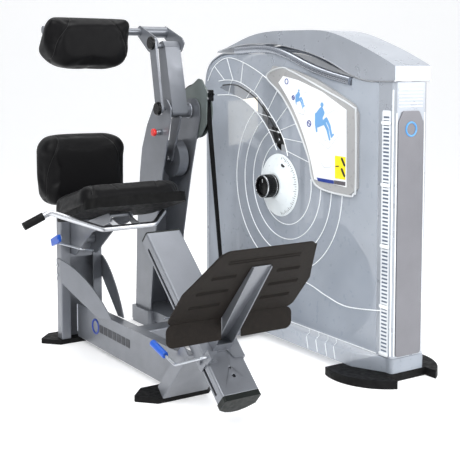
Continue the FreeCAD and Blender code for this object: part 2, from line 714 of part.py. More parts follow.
def foot_rail():
    body = new_body(RAIL_AT, "x", "rail_slope")
    page = sketch(body, "XZ")
    half = "rail_wide / 2"
    polygon(page, [("-" + half, "0"), (half, "0"), (half, "-rail_deep"), ("-" + half, "-rail_deep")])
    pad(body, page, "rail_long", True)
    soften(body, "8", "y")
    hollow = sketch(body, "XZ", "1")
    half = "(rail_wide / 2 - rail_wall)"
    polygon(hollow, [("-" + half, "-rail_wall"), (half, "-rail_wall"), (half, "rail_wall - rail_deep"),
                     ("-" + half, "rail_wall - rail_deep")])
    pocket(body, hollow, "rail_long + 2", False)
    slot = sketch(body, "YZ", "-rail_wide / 2 - 1")
    polygon(slot, [("27", "-33"), ("rail_long - 50", "-33"), ("rail_long - 50", "-46"), ("27", "-46")])
    pocket(body, slot, "rail_wide + 2")
    holes = sketch(body, "XY", "1")
    circle(holes, "4", "106", "5")
    circle(holes, "4", "71", "7")
    pocket(body, holes, "rail_wall + 2", False)
    piece(body, "foot_rail")


def rail_caps():
    """A thick plug with a bowed underside at the low end, a thin plug at the high end."""
    low = new_body(RAIL_AT, "x", "rail_slope")
    page = sketch(low, "XZ")
    half = "rail_wide / 2"
    polygon(page, [("-" + half, "0"), (half, "0"), (half, "-rail_deep"),
                   ("0.6 * " + half, "-rail_deep - 22"),
                   ("0.2 * " + half, "-rail_deep - 32"), ("-0.2 * " + half, "-rail_deep - 32"),
                   ("-0.6 * " + half, "-rail_deep - 22"), ("-" + half, "-rail_deep")])
    pad(low, page, "22")
    soften(low, "8", "y", lambda at: at.z > -1)
    high = new_body(RAIL_AT, "x", "rail_slope")
    page = sketch(high, "XZ", "-rail_long")
    polygon(page, [("-" + half, "0"), (half, "0"), (half, "-rail_deep"), ("-" + half, "-rail_deep")])
    pad(high, page, "6", True)
    soften(high, "8", "y")
    piece(group(low, high), "rail_caps")


def hexagon(x, y):
    long_half = "pad_half_long"
    deep = "pad_half_deep"
    flat = "(pad_half_long - 70)"
    body = new_body((x, y, "0"))
    page = sketch(body, "XY")
    polygon(page, [("-" + long_half, "0"), ("-" + flat, "-" + deep), (flat, "-" + deep), (long_half, "0"),
                   (flat, deep), ("-" + flat, deep)])
    pad(body, page, "pad_thick")
    soften(body, "12", "z")
    return body


def floor_pads():
    piece(group(hexagon("seat_x", "600"), hexagon("seat_x", "-355")), "floor_pads")
    left = "upright_left - 18"
    right = "upright_right + 18"
    foot = plate("XY", [(left, "565"), (right, "565"), (right, "758"), (left, "758")], "12", "68")
    soften(foot, "14", "z")
    tongue = plate("XY", [("upright_left + 10", "cross_y + cross_half"),
                          ("upright_right - 10", "cross_y + cross_half"),
                          ("upright_right - 10", "566"), ("upright_left + 10",
                                                          "566")], "cross_low + 10", "50")
    sole = plate("XY", [(left, "590"), (right, "590"), (right, "740"), (left, "740")], "0", "12")
    well = block(("upright_right - upright_left + 24", "181", "63"), (left + " + 6", "571", "11"))
    tunnel = block(("upright_right - upright_left - 32", "325", "38"),
                   ("upright_left + 16", "cross_y + cross_half + 8", "cross_low + 16"))
    piece(fuse(cut(fuse(foot, tongue), well, tunnel), sole), "upright_foot")


# ---------- station: upright and moving arm ----------

def upright():
    """Two side plates with a bowed outline, joined by a back sheet. A barrel on the left guides a pin."""
    outline = [("583", "80"), ("741", "80"), ("722", "474"), ("684", "780"), ("660", "900"),
               ("606", "1018"),
               ("540", "1110"), ("470", "1152"), ("405", "1152"), ("372", "1120"), ("368", "1062"),
               ("454", "782"), ("530", "474")]
    pivots = [("pivot_y", "pivot_z", "pivot_radius + run_gap"),
              ("pivot_y - link_fore", "pivot_z + link_up", "9"),
              ("pin_y", "pin_z", "6 + run_gap")]
    parts = []
    for x, holes in (("upright_left", pivots), ("upright_right - sheet", pivots[:1])):
        body = plate("YZ", outline, x, "sheet", holes)
        soften(body, "28", "x", lambda at: at.z > 1000)
        parts.append(body)
    parts.append(plate("YZ", [("723", "80"), ("735", "80"), ("716", "474"), ("678", "780"), ("654", "900"),
                              ("646", "900"), ("670", "780"), ("708", "474")],
                       "upright_left + sheet", "upright_right - upright_left - 2 * sheet"))
    parts.append(cut(cylinder("13", "26", ("upright_left - 26", "pin_y", "pin_z"), "x"),
                     cylinder("6 + run_gap", "60", ("upright_left - 40", "pin_y", "pin_z"), "x")))
    piece(fuse(*parts), "upright_shell")
    piece(cylinder("pivot_radius", "cam_left + cam_wide + 8 - upright_left",
                   ("upright_left", "pivot_y", "pivot_z"), "x"),
          "pivot_shaft")


def movement_arm():
    """The lever: a hub on the pivot shaft and a box section up to the bracket pin."""
    lean = "atan(arm_lean / arm_rise)"
    body = new_body(("arm_left", "pivot_y", "pivot_z"), "x", "-(%s)" % lean)
    reach = "sqrt(arm_lean * arm_lean + arm_rise * arm_rise)"
    page = sketch(body, "YZ")
    polygon(page, [("-arm_half - 4", "-28"), ("arm_half + 4", "-28"), ("arm_half + 2", "120"),
                   ("arm_half - 6", reach + " - 8"), ("20", reach + " + 24"), ("-20", reach + " + 24"),
                   ("6 - arm_half", reach + " - 8"), ("-arm_half - 2", "120")])
    pad(body, page, "arm_wide")
    soften(body, "14", "x")
    hub = cylinder("34", "upright_right - sheet - 2 - upright_left - sheet - 2",
                   ("upright_left + sheet + 2", "pivot_y", "pivot_z"), "x")
    bores = [cylinder("pivot_radius", "300", ("upright_left - 20", "pivot_y", "pivot_z"), "x"),
             cylinder("axle_radius + 4 + run_gap", "300",
                      ("upright_left - 20", "pivot_y + arm_lean", "pivot_z + arm_rise"), "x")]
    piece(cut(fuse(body, hub), *bores), "movement_arm")


def arm_cam():
    """A belt drum between two cheeks, with a raised ear that carries the belt clamp."""
    body = new_body(("cam_left", "pivot_y", "pivot_z"))
    page = sketch(body, "YZ")
    polygon(page, [("-138", "-62"), ("-96", "-116"), ("-36", "-146"), ("36", "-146"), ("96", "-116"),
                   ("120", "-40"), ("105", "40"), ("50", "96"), ("-66", "158"), ("-100", "152"), ("-146",
                                                                                                  "92")])
    circle(page, "0", "0", "pivot_radius")
    pad(body, page, "6")
    soften(body, "16", "x", lambda at: at.sub(FreeCAD.Vector(at.x, 0, 0)).Length > 60)
    drum = new_body(("cam_left", "pivot_y", "pivot_z"))
    page = sketch(drum, "YZ", "6")
    circle(page, "0", "0", "belt_radius - 8")
    circle(page, "0", "0", "pivot_radius")
    pad(drum, page, "cam_wide - 12")
    cheek = new_body(("cam_left", "pivot_y", "pivot_z"))
    page = sketch(cheek, "YZ", "cam_wide - 6")
    circle(page, "0", "0", "cam_radius - 12")
    circle(page, "0", "0", "pivot_radius")
    pad(cheek, page, "6")
    piece(fuse(body, drum, cheek), "arm_cam")
    ring = cut(cylinder("belt_radius - 2.2", "cam_wide - 14", ("cam_left + 7", "pivot_y", "pivot_z"), "x"),
               cylinder("belt_radius - 8", "cam_wide", ("cam_left", "pivot_y", "pivot_z"), "x"))
    piece(ring, "cam_lining")
    clamp = block(("cam_wide - 14", "30", "56"), ("cam_left + 7", "pivot_y - 156", "pivot_z + 48"))
    screws = [cylinder("5", "4", ("cam_left + 17 + %d" % gap, "pivot_y - 160", "pivot_z + 82"), "y")
              for gap in (0, 14)]
    piece(fuse(rounded(clamp, "7", "x"), *screws), "belt_clamp")


def counterweight():
    """A round weight on a flat bar that hangs from the arm's hub."""
    x = "upright_right - sheet - 6 - counter_thick - 14"
    disc = cylinder("counter_radius", "counter_thick", (x, "counter_y", "counter_z"), "x")
    dy = "(counter_y - pivot_y)"
    dz = "(counter_z - pivot_z)"
    body = new_body((x + " - 10", "pivot_y", "pivot_z"))
    page = sketch(body, "YZ")
    polygon(page, [("-49", "-21"), ("40", "-38.6"), (dy + " + 22", dz + " - 10"), (dy, dz + " - 26"),
                   (dy + " - 22", dz + " - 14")])
    pad(body, page, "10")
    soften(body, "9", "x", lambda at: at.z < num("counter_z") + 60)
    bore = cylinder("34", "400", ("arm_left - 20", "pivot_y", "pivot_z"), "x")
    bolt = cylinder("9", "6", (x + " - 16", "counter_y", "counter_z"), "x")
    weight = cut(fuse(disc, body, bolt), bore)
    piece(weight, "counterweight")


def parallel_link():
    """The bar that keeps the pad bracket level, with a cap over each pivot."""
    lean = "atan(arm_lean / arm_rise)"
    reach = "sqrt(arm_lean * arm_lean + arm_rise * arm_rise)"
    at = ("link_left", "pivot_y - link_fore", "pivot_z + link_up")
    body = new_body(at, "x", "-(%s)" % lean)
    page = sketch(body, "YZ")
    polygon(page, [("-link_half", "-24"), ("link_half", "-24"), ("link_half", reach + " + 24"),
                   ("-link_half", reach + " + 24")])
    pad(body, page, "link_thick")
    soften(body, "20", "x")
    pivot = cylinder("9 - run_gap", "upright_left - link_left - link_thick + 8",
                     ("link_left + link_thick - 1", "pivot_y - link_fore", "pivot_z + link_up"), "x")
    spacer = cylinder("20", "ear_left - link_left - link_thick - 1 + 1",
                      ("link_left + link_thick - 1", "pivot_y - link_fore + arm_lean",
                       "pivot_z + link_up + arm_rise"), "x")
    piece(fuse(body, pivot, spacer), "parallel_link")
    caps = []
    for up in ("0", "1"):
        y = "pivot_y - link_fore + %s * arm_lean" % up
        z = "pivot_z + link_up + %s * arm_rise" % up
        caps.append(rounded_cap("link_left - 14", y, z))
    piece(group(*caps), "link_caps")


def rounded_cap(x, y, z, radius="33", thick="14"):
    doc.recompute()
    disc = cylinder(radius, thick, (x, y, z), "x")
    doc.recompute()
    cap = doc.addObject("Part::Chamfer", "cap")
    cap.Base = disc
    rims = [i for i, edge in enumerate(disc.Shape.Edges, start=1)
            if edge.Curve.TypeId == "Part::GeomCircle" and edge.CenterOfMass.x < num(x) + 1]
    cap.Edges = [(i, 5.0, 5.0) for i in rims]
    return cap


def pad_bracket():
    """Two ear plates on the arm's top pin, joined by the tube that holds the pad's shaft."""
    arm_y = "pivot_y + arm_lean"
    arm_z = "pivot_z + arm_rise"
    ear = [(arm_y + " - link_fore - 26", arm_z + " + link_up + 2"),
           (arm_y + " - link_fore - 8", arm_z + " + link_up - 26"),
           (arm_y + " + 2", arm_z + " - 34"), (arm_y + " + 32", arm_z + " - 24"), ("shaft_y + 32",
                                                                                   "shaft_z - 14"),
           ("shaft_y + 30", "shaft_z + 18"), ("shaft_y + 4", "shaft_z + 32"),
           (arm_y + " - link_fore - 4", arm_z + " + link_up + 28")]
    holes = [("shaft_y", "shaft_z", "shaft_radius + run_gap")]
    parts = []
    for x in ("ear_left", "arm_left + arm_wide + 2"):
        body = plate("YZ", ear, x, "6", holes)
        soften(body, "10", "x", lambda at: (at.y - num("shaft_y")) ** 2 + (at.z - num("shaft_z")) ** 2 > 450)
        parts.append(body)
    span = "arm_left + arm_wide + 8 - ear_left"
    parts.append(cut(cylinder("shaft_radius + 9", span + " - 2", ("ear_left + 1", "shaft_y", "shaft_z"),
                              "x"),
                     cylinder("shaft_radius + run_gap", "arm_wide + 140",
                              ("ear_left - 20", "shaft_y", "shaft_z"), "x")))
    parts.append(cylinder("axle_radius + 4", span, ("ear_left", arm_y, arm_z), "x"))
    parts.append(cylinder("30", "12", ("arm_left + arm_wide + 8", arm_y, arm_z), "x"))
    piece(fuse(*parts), "pad_bracket")


# ---------- pads ----------

def upper_pad():
    """A shaft, a sloping backing board and a cushion that roll a little on the shaft."""
    start = "upper_left + 60"
    shaft = cylinder("shaft_radius", "arm_left + arm_wide + 20 - (%s)" % start,
                     (start, "shaft_y", "shaft_z"), "x")
    stem = block(("120", "130", "24"), (start + " + 60", "shaft_y - 136", "shaft_z - 30"))
    board = plate("YZ", [("554", "1381"), ("445", "1514"), ("456", "1523"), ("565", "1390")],
                  "upper_left + 20", "upper_long - 40")
    piece(fuse(shaft, rounded(stem, "5", "x"), board), "pad_frame")
    section = [("404", "1335"), ("424", "1303"), ("505", "1303"), ("554", "1375"), ("430", "1526"),
               ("404", "1500")]
    cushion = plate("YZ", section, "upper_left", "upper_long")
    soften(cushion, "14", "x")
    piece(cushion, "upper_cushion")


def lumbar_pad():
    cushion = block(("lumbar_long", "122", "330"), ("lumbar_left", "434", "665"))
    piece(rounded(cushion, "38", "y"), "lumbar_cushion")
    bar = block(("80", "8", "470"), ("seat_x - 40", "566", "450"))
    back = block(("260", "8", "180"), ("seat_x - 130", "558", "740"))
    piece(fuse(bar, rounded(back, "20", "y")), "lumbar_bracket")


SEAT_AT = ("seat_x", "seat_rear_y", "seat_rear_z")


def seat():
    turn = "-seat_tilt"
    pan = block(("seat_wide - 20", "seat_deep - 10", "pan_thick"), ("0", "0", "0"))
    pan = place(pan, ("seat_x + seat_shift - seat_wide / 2 + 10",
                      "seat_rear_y - (seat_deep - 5) * cos(seat_tilt)",
                      "seat_rear_z + (seat_deep - 5) * sin(seat_tilt)"), "x", turn)
    piece(rounded(pan, "45", "z"), "seat_pan")
    lift = "(pan_thick + 1)"
    cushion = block(("seat_wide", "seat_deep", "cushion_thick"), ("0", "0", "0"))
    cushion = place(cushion, ("seat_x + seat_shift - seat_wide / 2",
                              "seat_rear_y - seat_deep * cos(seat_tilt) + %s * sin(seat_tilt)" % lift,
                              "seat_rear_z + seat_deep * sin(seat_tilt) + %s * cos(seat_tilt)" % lift), "x", turn)
    piece(rounded(cushion, "50", "z"), "seat_cushion")


def seat_carriage():
    """A slider inside the post, and two side plates that reach forward under the seat."""
    slider = block(("2 * (post_half - sheet) - 2", "28", "190"),
                   ("seat_x - post_half + sheet + 1", "538", "410"))
    arm = [("566", "430"), ("566", "585"), ("480", "592"), ("330", "612"), ("112", "677"), ("100", "640"),
           ("300", "560"), ("480", "430")]
    cheeks = [plate("YZ", arm, "seat_x " + x, "6") for x in ("- 56", "+ 50")]
    for body in cheeks:
        soften(body, "14", "x", lambda at: at.y < 520)
    tie = cylinder("10", "112", ("seat_x - 56", "300", "600"), "x")
    tie_front = cylinder("8", "112", ("seat_x - 56", "135", "660"), "x")
    roller = cylinder("22", "94", ("seat_x - 47", "500", "500"), "x")
    piece(fuse(slider, cheeks[0], cheeks[1], tie, tie_front, roller), "seat_carriage")


def handle_bar():
    x = num("seat_x")
    left_grip = FreeCAD.Vector(-1343, 128, 650)
    path = [left_grip, FreeCAD.Vector(-1235, 116, 700), FreeCAD.Vector(x - 125, 35, 622),
            FreeCAD.Vector(x + 125, 35, 622), FreeCAD.Vector(-705, 95, 664)]
    bar = tube(path, num("bar_radius"), 32)
    stays = []
    for side in (-50, 44):
        stays.append(Part.makeBox(6, 90, 26, FreeCAD.Vector(x + side, 33, 622 - 13), AXES["z"]))
    for stay in stays:
        stay.rotate(FreeCAD.Vector(x, 33, 622), AXES["x"], 14)
    bar = bar.fuse(stays)
    feature(bar, "handle_bar")
    heading = (path[1] - left_grip).normalize()
    grip = Part.makeCylinder(num("grip_radius"), 92, left_grip - heading * 5, heading)
    core = Part.makeCylinder(num("bar_radius"), 100, left_grip, heading)
    feature(grip.cut(core), "hand_grip")


def seat_lever():
    """A blue paddle beside the post, with a thin rod that runs forward and in to the slider's catch."""
    rod = tube([FreeCAD.Vector(-1045, 560, 492), FreeCAD.Vector(-1000, 330, 486),
                FreeCAD.Vector(-930, 350, 470),
                FreeCAD.Vector(-930, 450, 455)], 5, 18)
    paddle = Part.makeBox(12, 96, 34, FreeCAD.Vector(-1051, 470, 500))
    paddle = paddle.makeFillet(5, [edge for edge in paddle.Edges if runs(edge, AXES["x"])])
    paddle.rotate(FreeCAD.Vector(-1045, 480, 520), AXES["x"], -22)
    pin = Part.makeCylinder(9, 22, FreeCAD.Vector(-1055, 480, 520), AXES["x"])
    feature(rod.fuse([paddle, pin]), "seat_lever")


# ---------- foot plate ----------

def foot_carriage():
    """A saddle over the rail, with side cheeks that carry the clamp bolt."""
    body = new_body(RAIL_AT, "x", "rail_slope")
    page = sketch(body, "XZ", "-138")
    outer = "(rail_wide / 2 + sheet + 0.6)"
    inner = "(rail_wide / 2 + 0.6)"
    polygon(page, [("-" + outer, "7"), (outer, "7"), (outer, "-56"), (inner, "-56"), (inner, "1"),
                   ("-" + inner, "1"), ("-" + inner, "-56"), ("-" + outer, "-56")])
    pad(body, page, "124", True)
    soften(body, "5", "y", lambda at: at.z > 6)
    notch = sketch(body, "XY", "10")
    polygon(notch, [("-38", "137"), ("38", "137"), ("22", "176"), ("-22", "176")])
    pocket(body, notch, "12", False)
    bolts = [cylinder("11", "8", (text, "0", "0"), "x") for text in ("seat_x - rail_wide / 2 - sheet - 8",
                                                                  "seat_x + rail_wide / 2 + sheet")]
    along = "168"
    for bolt in bolts:
        bolt.setExpression("Placement.Base.y", full("rail_low_y + %s * cos(rail_slope) + 31 * sin(rail_slope)" % along))
        bolt.setExpression("Placement.Base.z", full("rail_low_z + %s * sin(rail_slope) - 31 * cos(rail_slope)" % along))
    lug = place(block(("sheet", "36", "45"), ("0", "0", "0")),
                ("seat_x - rail_wide / 2 - sheet - 0.6", "rail_low_y + 131 * cos(rail_slope)",
                 "rail_low_z + 131 * sin(rail_slope)"), "x", "rail_slope")
    piece(fuse(body, lug, *bolts), "foot_carriage")


def foot_channel():
    body = new_body(RAIL_AT, "x", "rail_slope")
    page = sketch(body, "YZ", "-40")
    polygon(page, [("180", "7"), ("227", "7"), ("227", "446"), ("215", "446")])
    pad(body, page, "80")
    hollow = sketch(body, "YZ", "-35")
    polygon(hollow, [("150", "60"), ("222", "12"), ("222", "460"), ("190", "460")])
    pocket(body, hollow, "70")
    piece(body, "foot_channel")


def foot_plate():
    """A black plate square to the rail, with rows of toothed slots and a folded lower lip."""
    body = new_body(RAIL_AT, "x", "rail_slope")
    page = sketch(body, "XZ", "-227")
    polygon(page, [("-270", "150"), ("270", "150"), ("270", "330"), ("185", "545"), ("-185", "545"),
                   ("-270", "330")])
    pad(body, page, "5", True)
    soften(body, "34", "y")
    rows = sketch(body, "XZ", "-220")
    for x, z, wide in ((-215, 240, 130), (85, 240, 130), (-215, 320, 130), (85, 320, 130),
                       (-185, 400, 100), (85, 400, 100)):
        polygon(rows, [(str(x), str(z)), (str(x + wide), str(z)), (str(x + wide), str(z + 7)),
                       (str(x), str(z + 7))])
    pocket(body, rows, "20", False)
    lip = place(block(("540", "5", "84"), ("0", "0", "0")),
                ("seat_x - 270", "rail_low_y + 230 * cos(rail_slope) - 153 * sin(rail_slope)",
                 "rail_low_z + 230 * sin(rail_slope) + 153 * cos(rail_slope)"), "x", "rail_slope + 138")
    lip = rounded(lip, "28", "y")
    notch = place(block(("86", "200", "200"), ("0", "0", "0")),
                  ("seat_x - 43", "rail_low_y + 70 * cos(rail_slope) - 20 * sin(rail_slope)",
                   "rail_low_z + 70 * sin(rail_slope) + 20 * cos(rail_slope)"), "x", "rail_slope")
    piece(fuse(body, cut(lip, notch)), "foot_plate")


def foot_lever():
    """A bent rod with a blue grip: it frees the saddle so that the foot plate can slide."""
    path = [FreeCAD.Vector(-993, -745, 262), FreeCAD.Vector(-1024, -745, 262),
            FreeCAD.Vector(-1040, -590, 200),
            FreeCAD.Vector(-1045, -440, 242)]
    heading = (path[3] - path[2]).normalize()
    grip = Part.makeCylinder(14, 100, path[3] - heading * 84, heading)
    grip = grip.makeFillet(4, [edge for edge in grip.Edges if edge.Curve.TypeId == "Part::GeomCircle"])
    feature(tube(path, 5, 9).fuse(grip), "foot_lever")


def start_pin():
    """The red pull-knob that locks the arm's start position."""
    at = vec("upright_left", "pin_y", "pin_z")
    back = FreeCAD.Vector(-1, 0, 0)
    stem = Part.makeCylinder(6, 46, at - back * 8, back)
    knob = Part.makeCylinder(19, 16, at + back * 28, back)
    knob = knob.makeFillet(5, [edge for edge in knob.Edges if edge.Curve.TypeId == "Part::GeomCircle"])
    feature(stem.fuse(knob), "start_pin")


def frame_bolts():
    """Hexagon-socket heads: post gussets, rail, upright foot and cross-beam flange."""
    spots = [((-1018, 556, 330), "x-"), ((-1018, 556, 375), "x-"), ((-798, 556, 330), "x+"),
             ((-798, 556, 375), "x+"), ((-470, 400, 80), "z"), ((-388, 400, 80), "z")]
    heads = []
    for (x, y, z), way in spots:
        heading = {"x-": FreeCAD.Vector(-1, 0, 0), "x+": FreeCAD.Vector(1, 0, 0), "z": AXES["z"]}[way]
        head = Part.makeCylinder(9, 7, FreeCAD.Vector(x, y, z), heading)
        socket = Part.makeCylinder(4, 4, FreeCAD.Vector(x, y, z) + heading * 4, heading)
        heads.append(head.cut(socket))
    feature(Part.makeCompound(heads), "frame_bolts")


def build():
    for make in (tower_base, tower_feet, column_trim, vent_strip, tower_skins, tower_cap, top_rail, placard,
                 dial, tower_frame, guide_rods, weights, pulleys, pulley_brackets, belt, cross_beam, main_beam,
                 seat_post, post_gussets, front_leg, foot_rail, rail_caps, floor_pads, upright, movement_arm,
                 arm_cam, counterweight, parallel_link, pad_bracket, upper_pad, lumbar_pad, seat, seat_carriage,
                 handle_bar, seat_lever, foot_carriage, foot_channel, foot_plate, foot_lever, start_pin, frame_bolts):
        make()
    column("near_column", True)
    column("far_column", False)


def check_and_write():
    doc.recompute()
    failed = [o.Name for o in doc.Objects if "Invalid" in o.State or "Error" in o.State]
    if failed:
        raise RuntimeError("objects failed: %s" % failed)
    os.makedirs("parts", exist_ok=True)
    for made in PIECES:
        shape = made.Shape.copy()
        if shape.isNull() or not shape.isValid() or not shape.Solids:
            raise RuntimeError("%s has no sound solid" % made.Label)
        shape.translate(vec("-datum_x", "-datum_y", "0"))
        shape.exportStep("parts/%s.step" % made.Label)
    print(len(PIECES), "pieces")


build()
check_and_write()
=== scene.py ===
import json
import math
import bpy
import numpy as np
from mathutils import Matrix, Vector
from mathutils.bvhtree import BVHTree


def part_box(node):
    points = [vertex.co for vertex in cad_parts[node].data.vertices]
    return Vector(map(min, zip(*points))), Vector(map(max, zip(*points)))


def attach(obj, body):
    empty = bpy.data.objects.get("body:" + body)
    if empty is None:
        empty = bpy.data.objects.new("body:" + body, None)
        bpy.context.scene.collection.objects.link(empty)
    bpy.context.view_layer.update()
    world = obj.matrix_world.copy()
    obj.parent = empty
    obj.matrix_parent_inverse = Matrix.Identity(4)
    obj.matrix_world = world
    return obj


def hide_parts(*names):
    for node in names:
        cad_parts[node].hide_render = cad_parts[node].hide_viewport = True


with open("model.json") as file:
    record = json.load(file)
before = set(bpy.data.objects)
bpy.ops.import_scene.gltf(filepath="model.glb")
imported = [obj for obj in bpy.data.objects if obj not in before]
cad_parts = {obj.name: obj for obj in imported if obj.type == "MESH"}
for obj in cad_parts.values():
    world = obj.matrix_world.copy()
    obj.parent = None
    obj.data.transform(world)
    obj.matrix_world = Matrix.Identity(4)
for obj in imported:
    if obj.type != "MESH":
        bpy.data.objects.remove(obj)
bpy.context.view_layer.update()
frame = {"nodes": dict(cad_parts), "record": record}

# The looks of a seated back-extension machine. Places are written in millimetres from the floor
# point under the middle of the weight tower, and turned into the frame's metres by at().

NODES = frame["nodes"]
SLOT_OF = {part["node"]: part["material_slot"] for part in frame["record"]["subparts"]}
MM = 0.001
BASE_LOW, BASE_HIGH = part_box("tower_base")
TOWER_HALF_WIDE = 93 * MM
TOWER = Vector((BASE_HIGH.x - TOWER_HALF_WIDE, (BASE_LOW.y + BASE_HIGH.y) / 2, 0))
LEFT, RIGHT, UP = Vector((-1, 0, 0)), Vector((1, 0, 0)), Vector((0, 0, 1))
FORWARD, BACK = Vector((0, -1, 0)), Vector((0, 1, 0))


def at(x, y, z):
    return TOWER + Vector((x, y, z)) * MM


# ---------- materials ----------

def colour(red, green, blue):
    """A linear colour from the 0 to 255 values that a screen shows."""
    return tuple((part / 255) ** 2.2 for part in (red, green, blue))


def shade(base, factor):
    return tuple(min(1.0, part * factor) for part in base) + (1.0,)


def textured(name):
    """A material, its node tree, its shader and the coordinates that ride with the object."""
    made = bpy.data.materials.new(name)
    made.use_nodes = True
    tree = made.node_tree
    place = tree.nodes.new("ShaderNodeTexCoord").outputs["Object"]
    return made, tree, tree.nodes["Principled BSDF"], place


def noise(tree, place, size, detail=3.0, stretch=(1, 1, 1)):
    """A noise pattern whose blobs are about size metres across, longer where stretch is below 1."""
    spread = tree.nodes.new("ShaderNodeVectorMath")
    spread.operation = "MULTIPLY"
    spread.inputs[1].default_value = stretch
    tree.links.new(place, spread.inputs[0])
    pattern = tree.nodes.new("ShaderNodeTexNoise")
    pattern.inputs["Scale"].default_value = 1 / size
    pattern.inputs["Detail"].default_value = detail
    tree.links.new(spread.outputs[0], pattern.inputs["Vector"])
    return pattern.outputs["Fac"]


def cells(tree, place, size):
    """A cell pattern: the pebbles of grained vinyl or the lumps of a grit coating."""
    pattern = tree.nodes.new("ShaderNodeTexVoronoi")
    pattern.inputs["Scale"].default_value = 1 / size
    tree.links.new(place, pattern.inputs["Vector"])
    return pattern.outputs["Distance"]


def spread_range(tree, value, low, high, source=(0.3, 0.7)):
    ranged = tree.nodes.new("ShaderNodeMapRange")
    ranged.inputs["From Min"].default_value = source[0]
    ranged.inputs["From Max"].default_value = source[1]
    ranged.inputs["To Min"].default_value = low
    ranged.inputs["To Max"].default_value = high
    tree.links.new(value, ranged.inputs["Value"])
    return ranged.outputs["Result"]


def two_tone(tree, value, dark, light):
    ramp = tree.nodes.new("ShaderNodeValToRGB")
    ramp.color_ramp.elements[0].position = 0.32
    ramp.color_ramp.elements[0].color = dark
    ramp.color_ramp.elements[1].position = 0.68
    ramp.color_ramp.elements[1].color = light
    tree.links.new(value, ramp.inputs["Fac"])
    return ramp.outputs["Color"]


def mixed(tree, first, second, share):
    """Colour first with a share of colour second laid over it."""
    blend = tree.nodes.new("ShaderNodeMix")
    blend.data_type = "RGBA"
    for value, socket in ((share, blend.inputs[0]), (first, blend.inputs[6]), (second, blend.inputs[7])):
        if isinstance(value, bpy.types.NodeSocket):
            tree.links.new(value, socket)
        else:
            socket.default_value = value
    return blend.outputs[2]


def relief(tree, shader, value, depth, strength):
    bump = tree.nodes.new("ShaderNodeBump")
    bump.inputs["Distance"].default_value = depth
    bump.inputs["Strength"].default_value = strength
    tree.links.new(value, bump.inputs["Height"])
    tree.links.new(bump.outputs["Normal"], shader.inputs["Normal"])


def painted(name, base, rough=0.34, metal=0.55, flake=0.0011, cloud=0.16, contrast=0.07, coat=0.25):
    """Metallic paint: slow clouding, fine flakes that change tone, and a slight orange-peel skin."""
    made, tree, shader, place = textured(name)
    slow = two_tone(tree, noise(tree, place, cloud), shade(base, 1 - contrast), shade(base, 1 + contrast))
    flecks = spread_range(tree, noise(tree, place, flake, 1.0), 0.0, 0.30)
    tree.links.new(mixed(tree, slow, shade(base, 1.45), flecks), shader.inputs["Base Color"])
    tree.links.new(spread_range(tree, noise(tree, place, 0.05, 5), rough * 0.85, rough * 1.2),
                   shader.inputs["Roughness"])
    shader.inputs["Metallic"].default_value = metal
    shader.inputs["Coat Weight"].default_value = coat
    shader.inputs["Coat Roughness"].default_value = 0.25
    relief(tree, shader, noise(tree, place, 0.004, 2.0), 0.0002, 0.25)
    return made


def moulded(name, base, rough=0.42, grain=0.0012, depth=0.0001, contrast=0.10, coat=0.0, gloss=0.5):
    """Moulded plastic or printed card with an even fine texture."""
    made, tree, shader, place = textured(name)
    slow = two_tone(tree, noise(tree, place, 0.05), shade(base, 1 - contrast), shade(base, 1 + contrast))
    tree.links.new(slow, shader.inputs["Base Color"])
    tree.links.new(spread_range(tree, noise(tree, place, 0.02, 4), rough * 0.8, rough * 1.2),
                   shader.inputs["Roughness"])
    shader.inputs["Coat Weight"].default_value = coat
    shader.inputs["Specular IOR Level"].default_value = gloss
    relief(tree, shader, noise(tree, place, grain, 2.0), depth, 0.5)
    return made


def lit(finish, strength):
    """Painted light: a faint emission glow, standing in for the light on a part behind a frosted panel."""
    shader = finish.node_tree.nodes["Principled BSDF"]
    shader.inputs["Emission Color"].default_value = (1, 0.97, 0.92, 1)
    shader.inputs["Emission Strength"].default_value = strength
    return finish


def two_part(name, first, second, axis, border):
    """Two finishes on one rod: first where the coordinate along the axis is under the border, in metres."""
    made, tree, shader, place = textured(name)
    split = tree.nodes.new("ShaderNodeSeparateXYZ")
    tree.links.new(place, split.inputs[0])
    side = tree.nodes.new("ShaderNodeMath")
    side.operation = "GREATER_THAN"
    side.inputs[1].default_value = border
    tree.links.new(split.outputs[axis], side.inputs[0])
    share = side.outputs[0]
    scuff = noise(tree, place, 0.01, 4)
    tones = [two_tone(tree, scuff, shade(base, 0.9), shade(base, 1.1)) for base, _, _ in (first, second)]
    tree.links.new(mixed(tree, tones[0], tones[1], share), shader.inputs["Base Color"])
    for socket, index in (("Roughness", 1), ("Metallic", 2)):
        tree.links.new(spread_range(tree, share, first[index], second[index], (0, 1)), shader.inputs[socket])
    relief(tree, shader, noise(tree, place, 0.0015, 2.0), 0.0001, 0.4)
    return made


def steel(name, base, rough, stretch=(1, 1, 0.06), contrast=0.12):
    """Bare or plated steel with drawn lines along one direction."""
    made, tree, shader, place = textured(name)
    lines = noise(tree, place, 0.0012, 3.0, stretch)
    tree.links.new(two_tone(tree, lines, shade(base, 1 - contrast), shade(base, 1 + contrast)),
                   shader.inputs["Base Color"])
    tree.links.new(spread_range(tree, lines, rough * 0.8, rough * 1.3), shader.inputs["Roughness"])
    shader.inputs["Metallic"].default_value = 1.0
    relief(tree, shader, lines, 0.00004, 0.4)
    return made


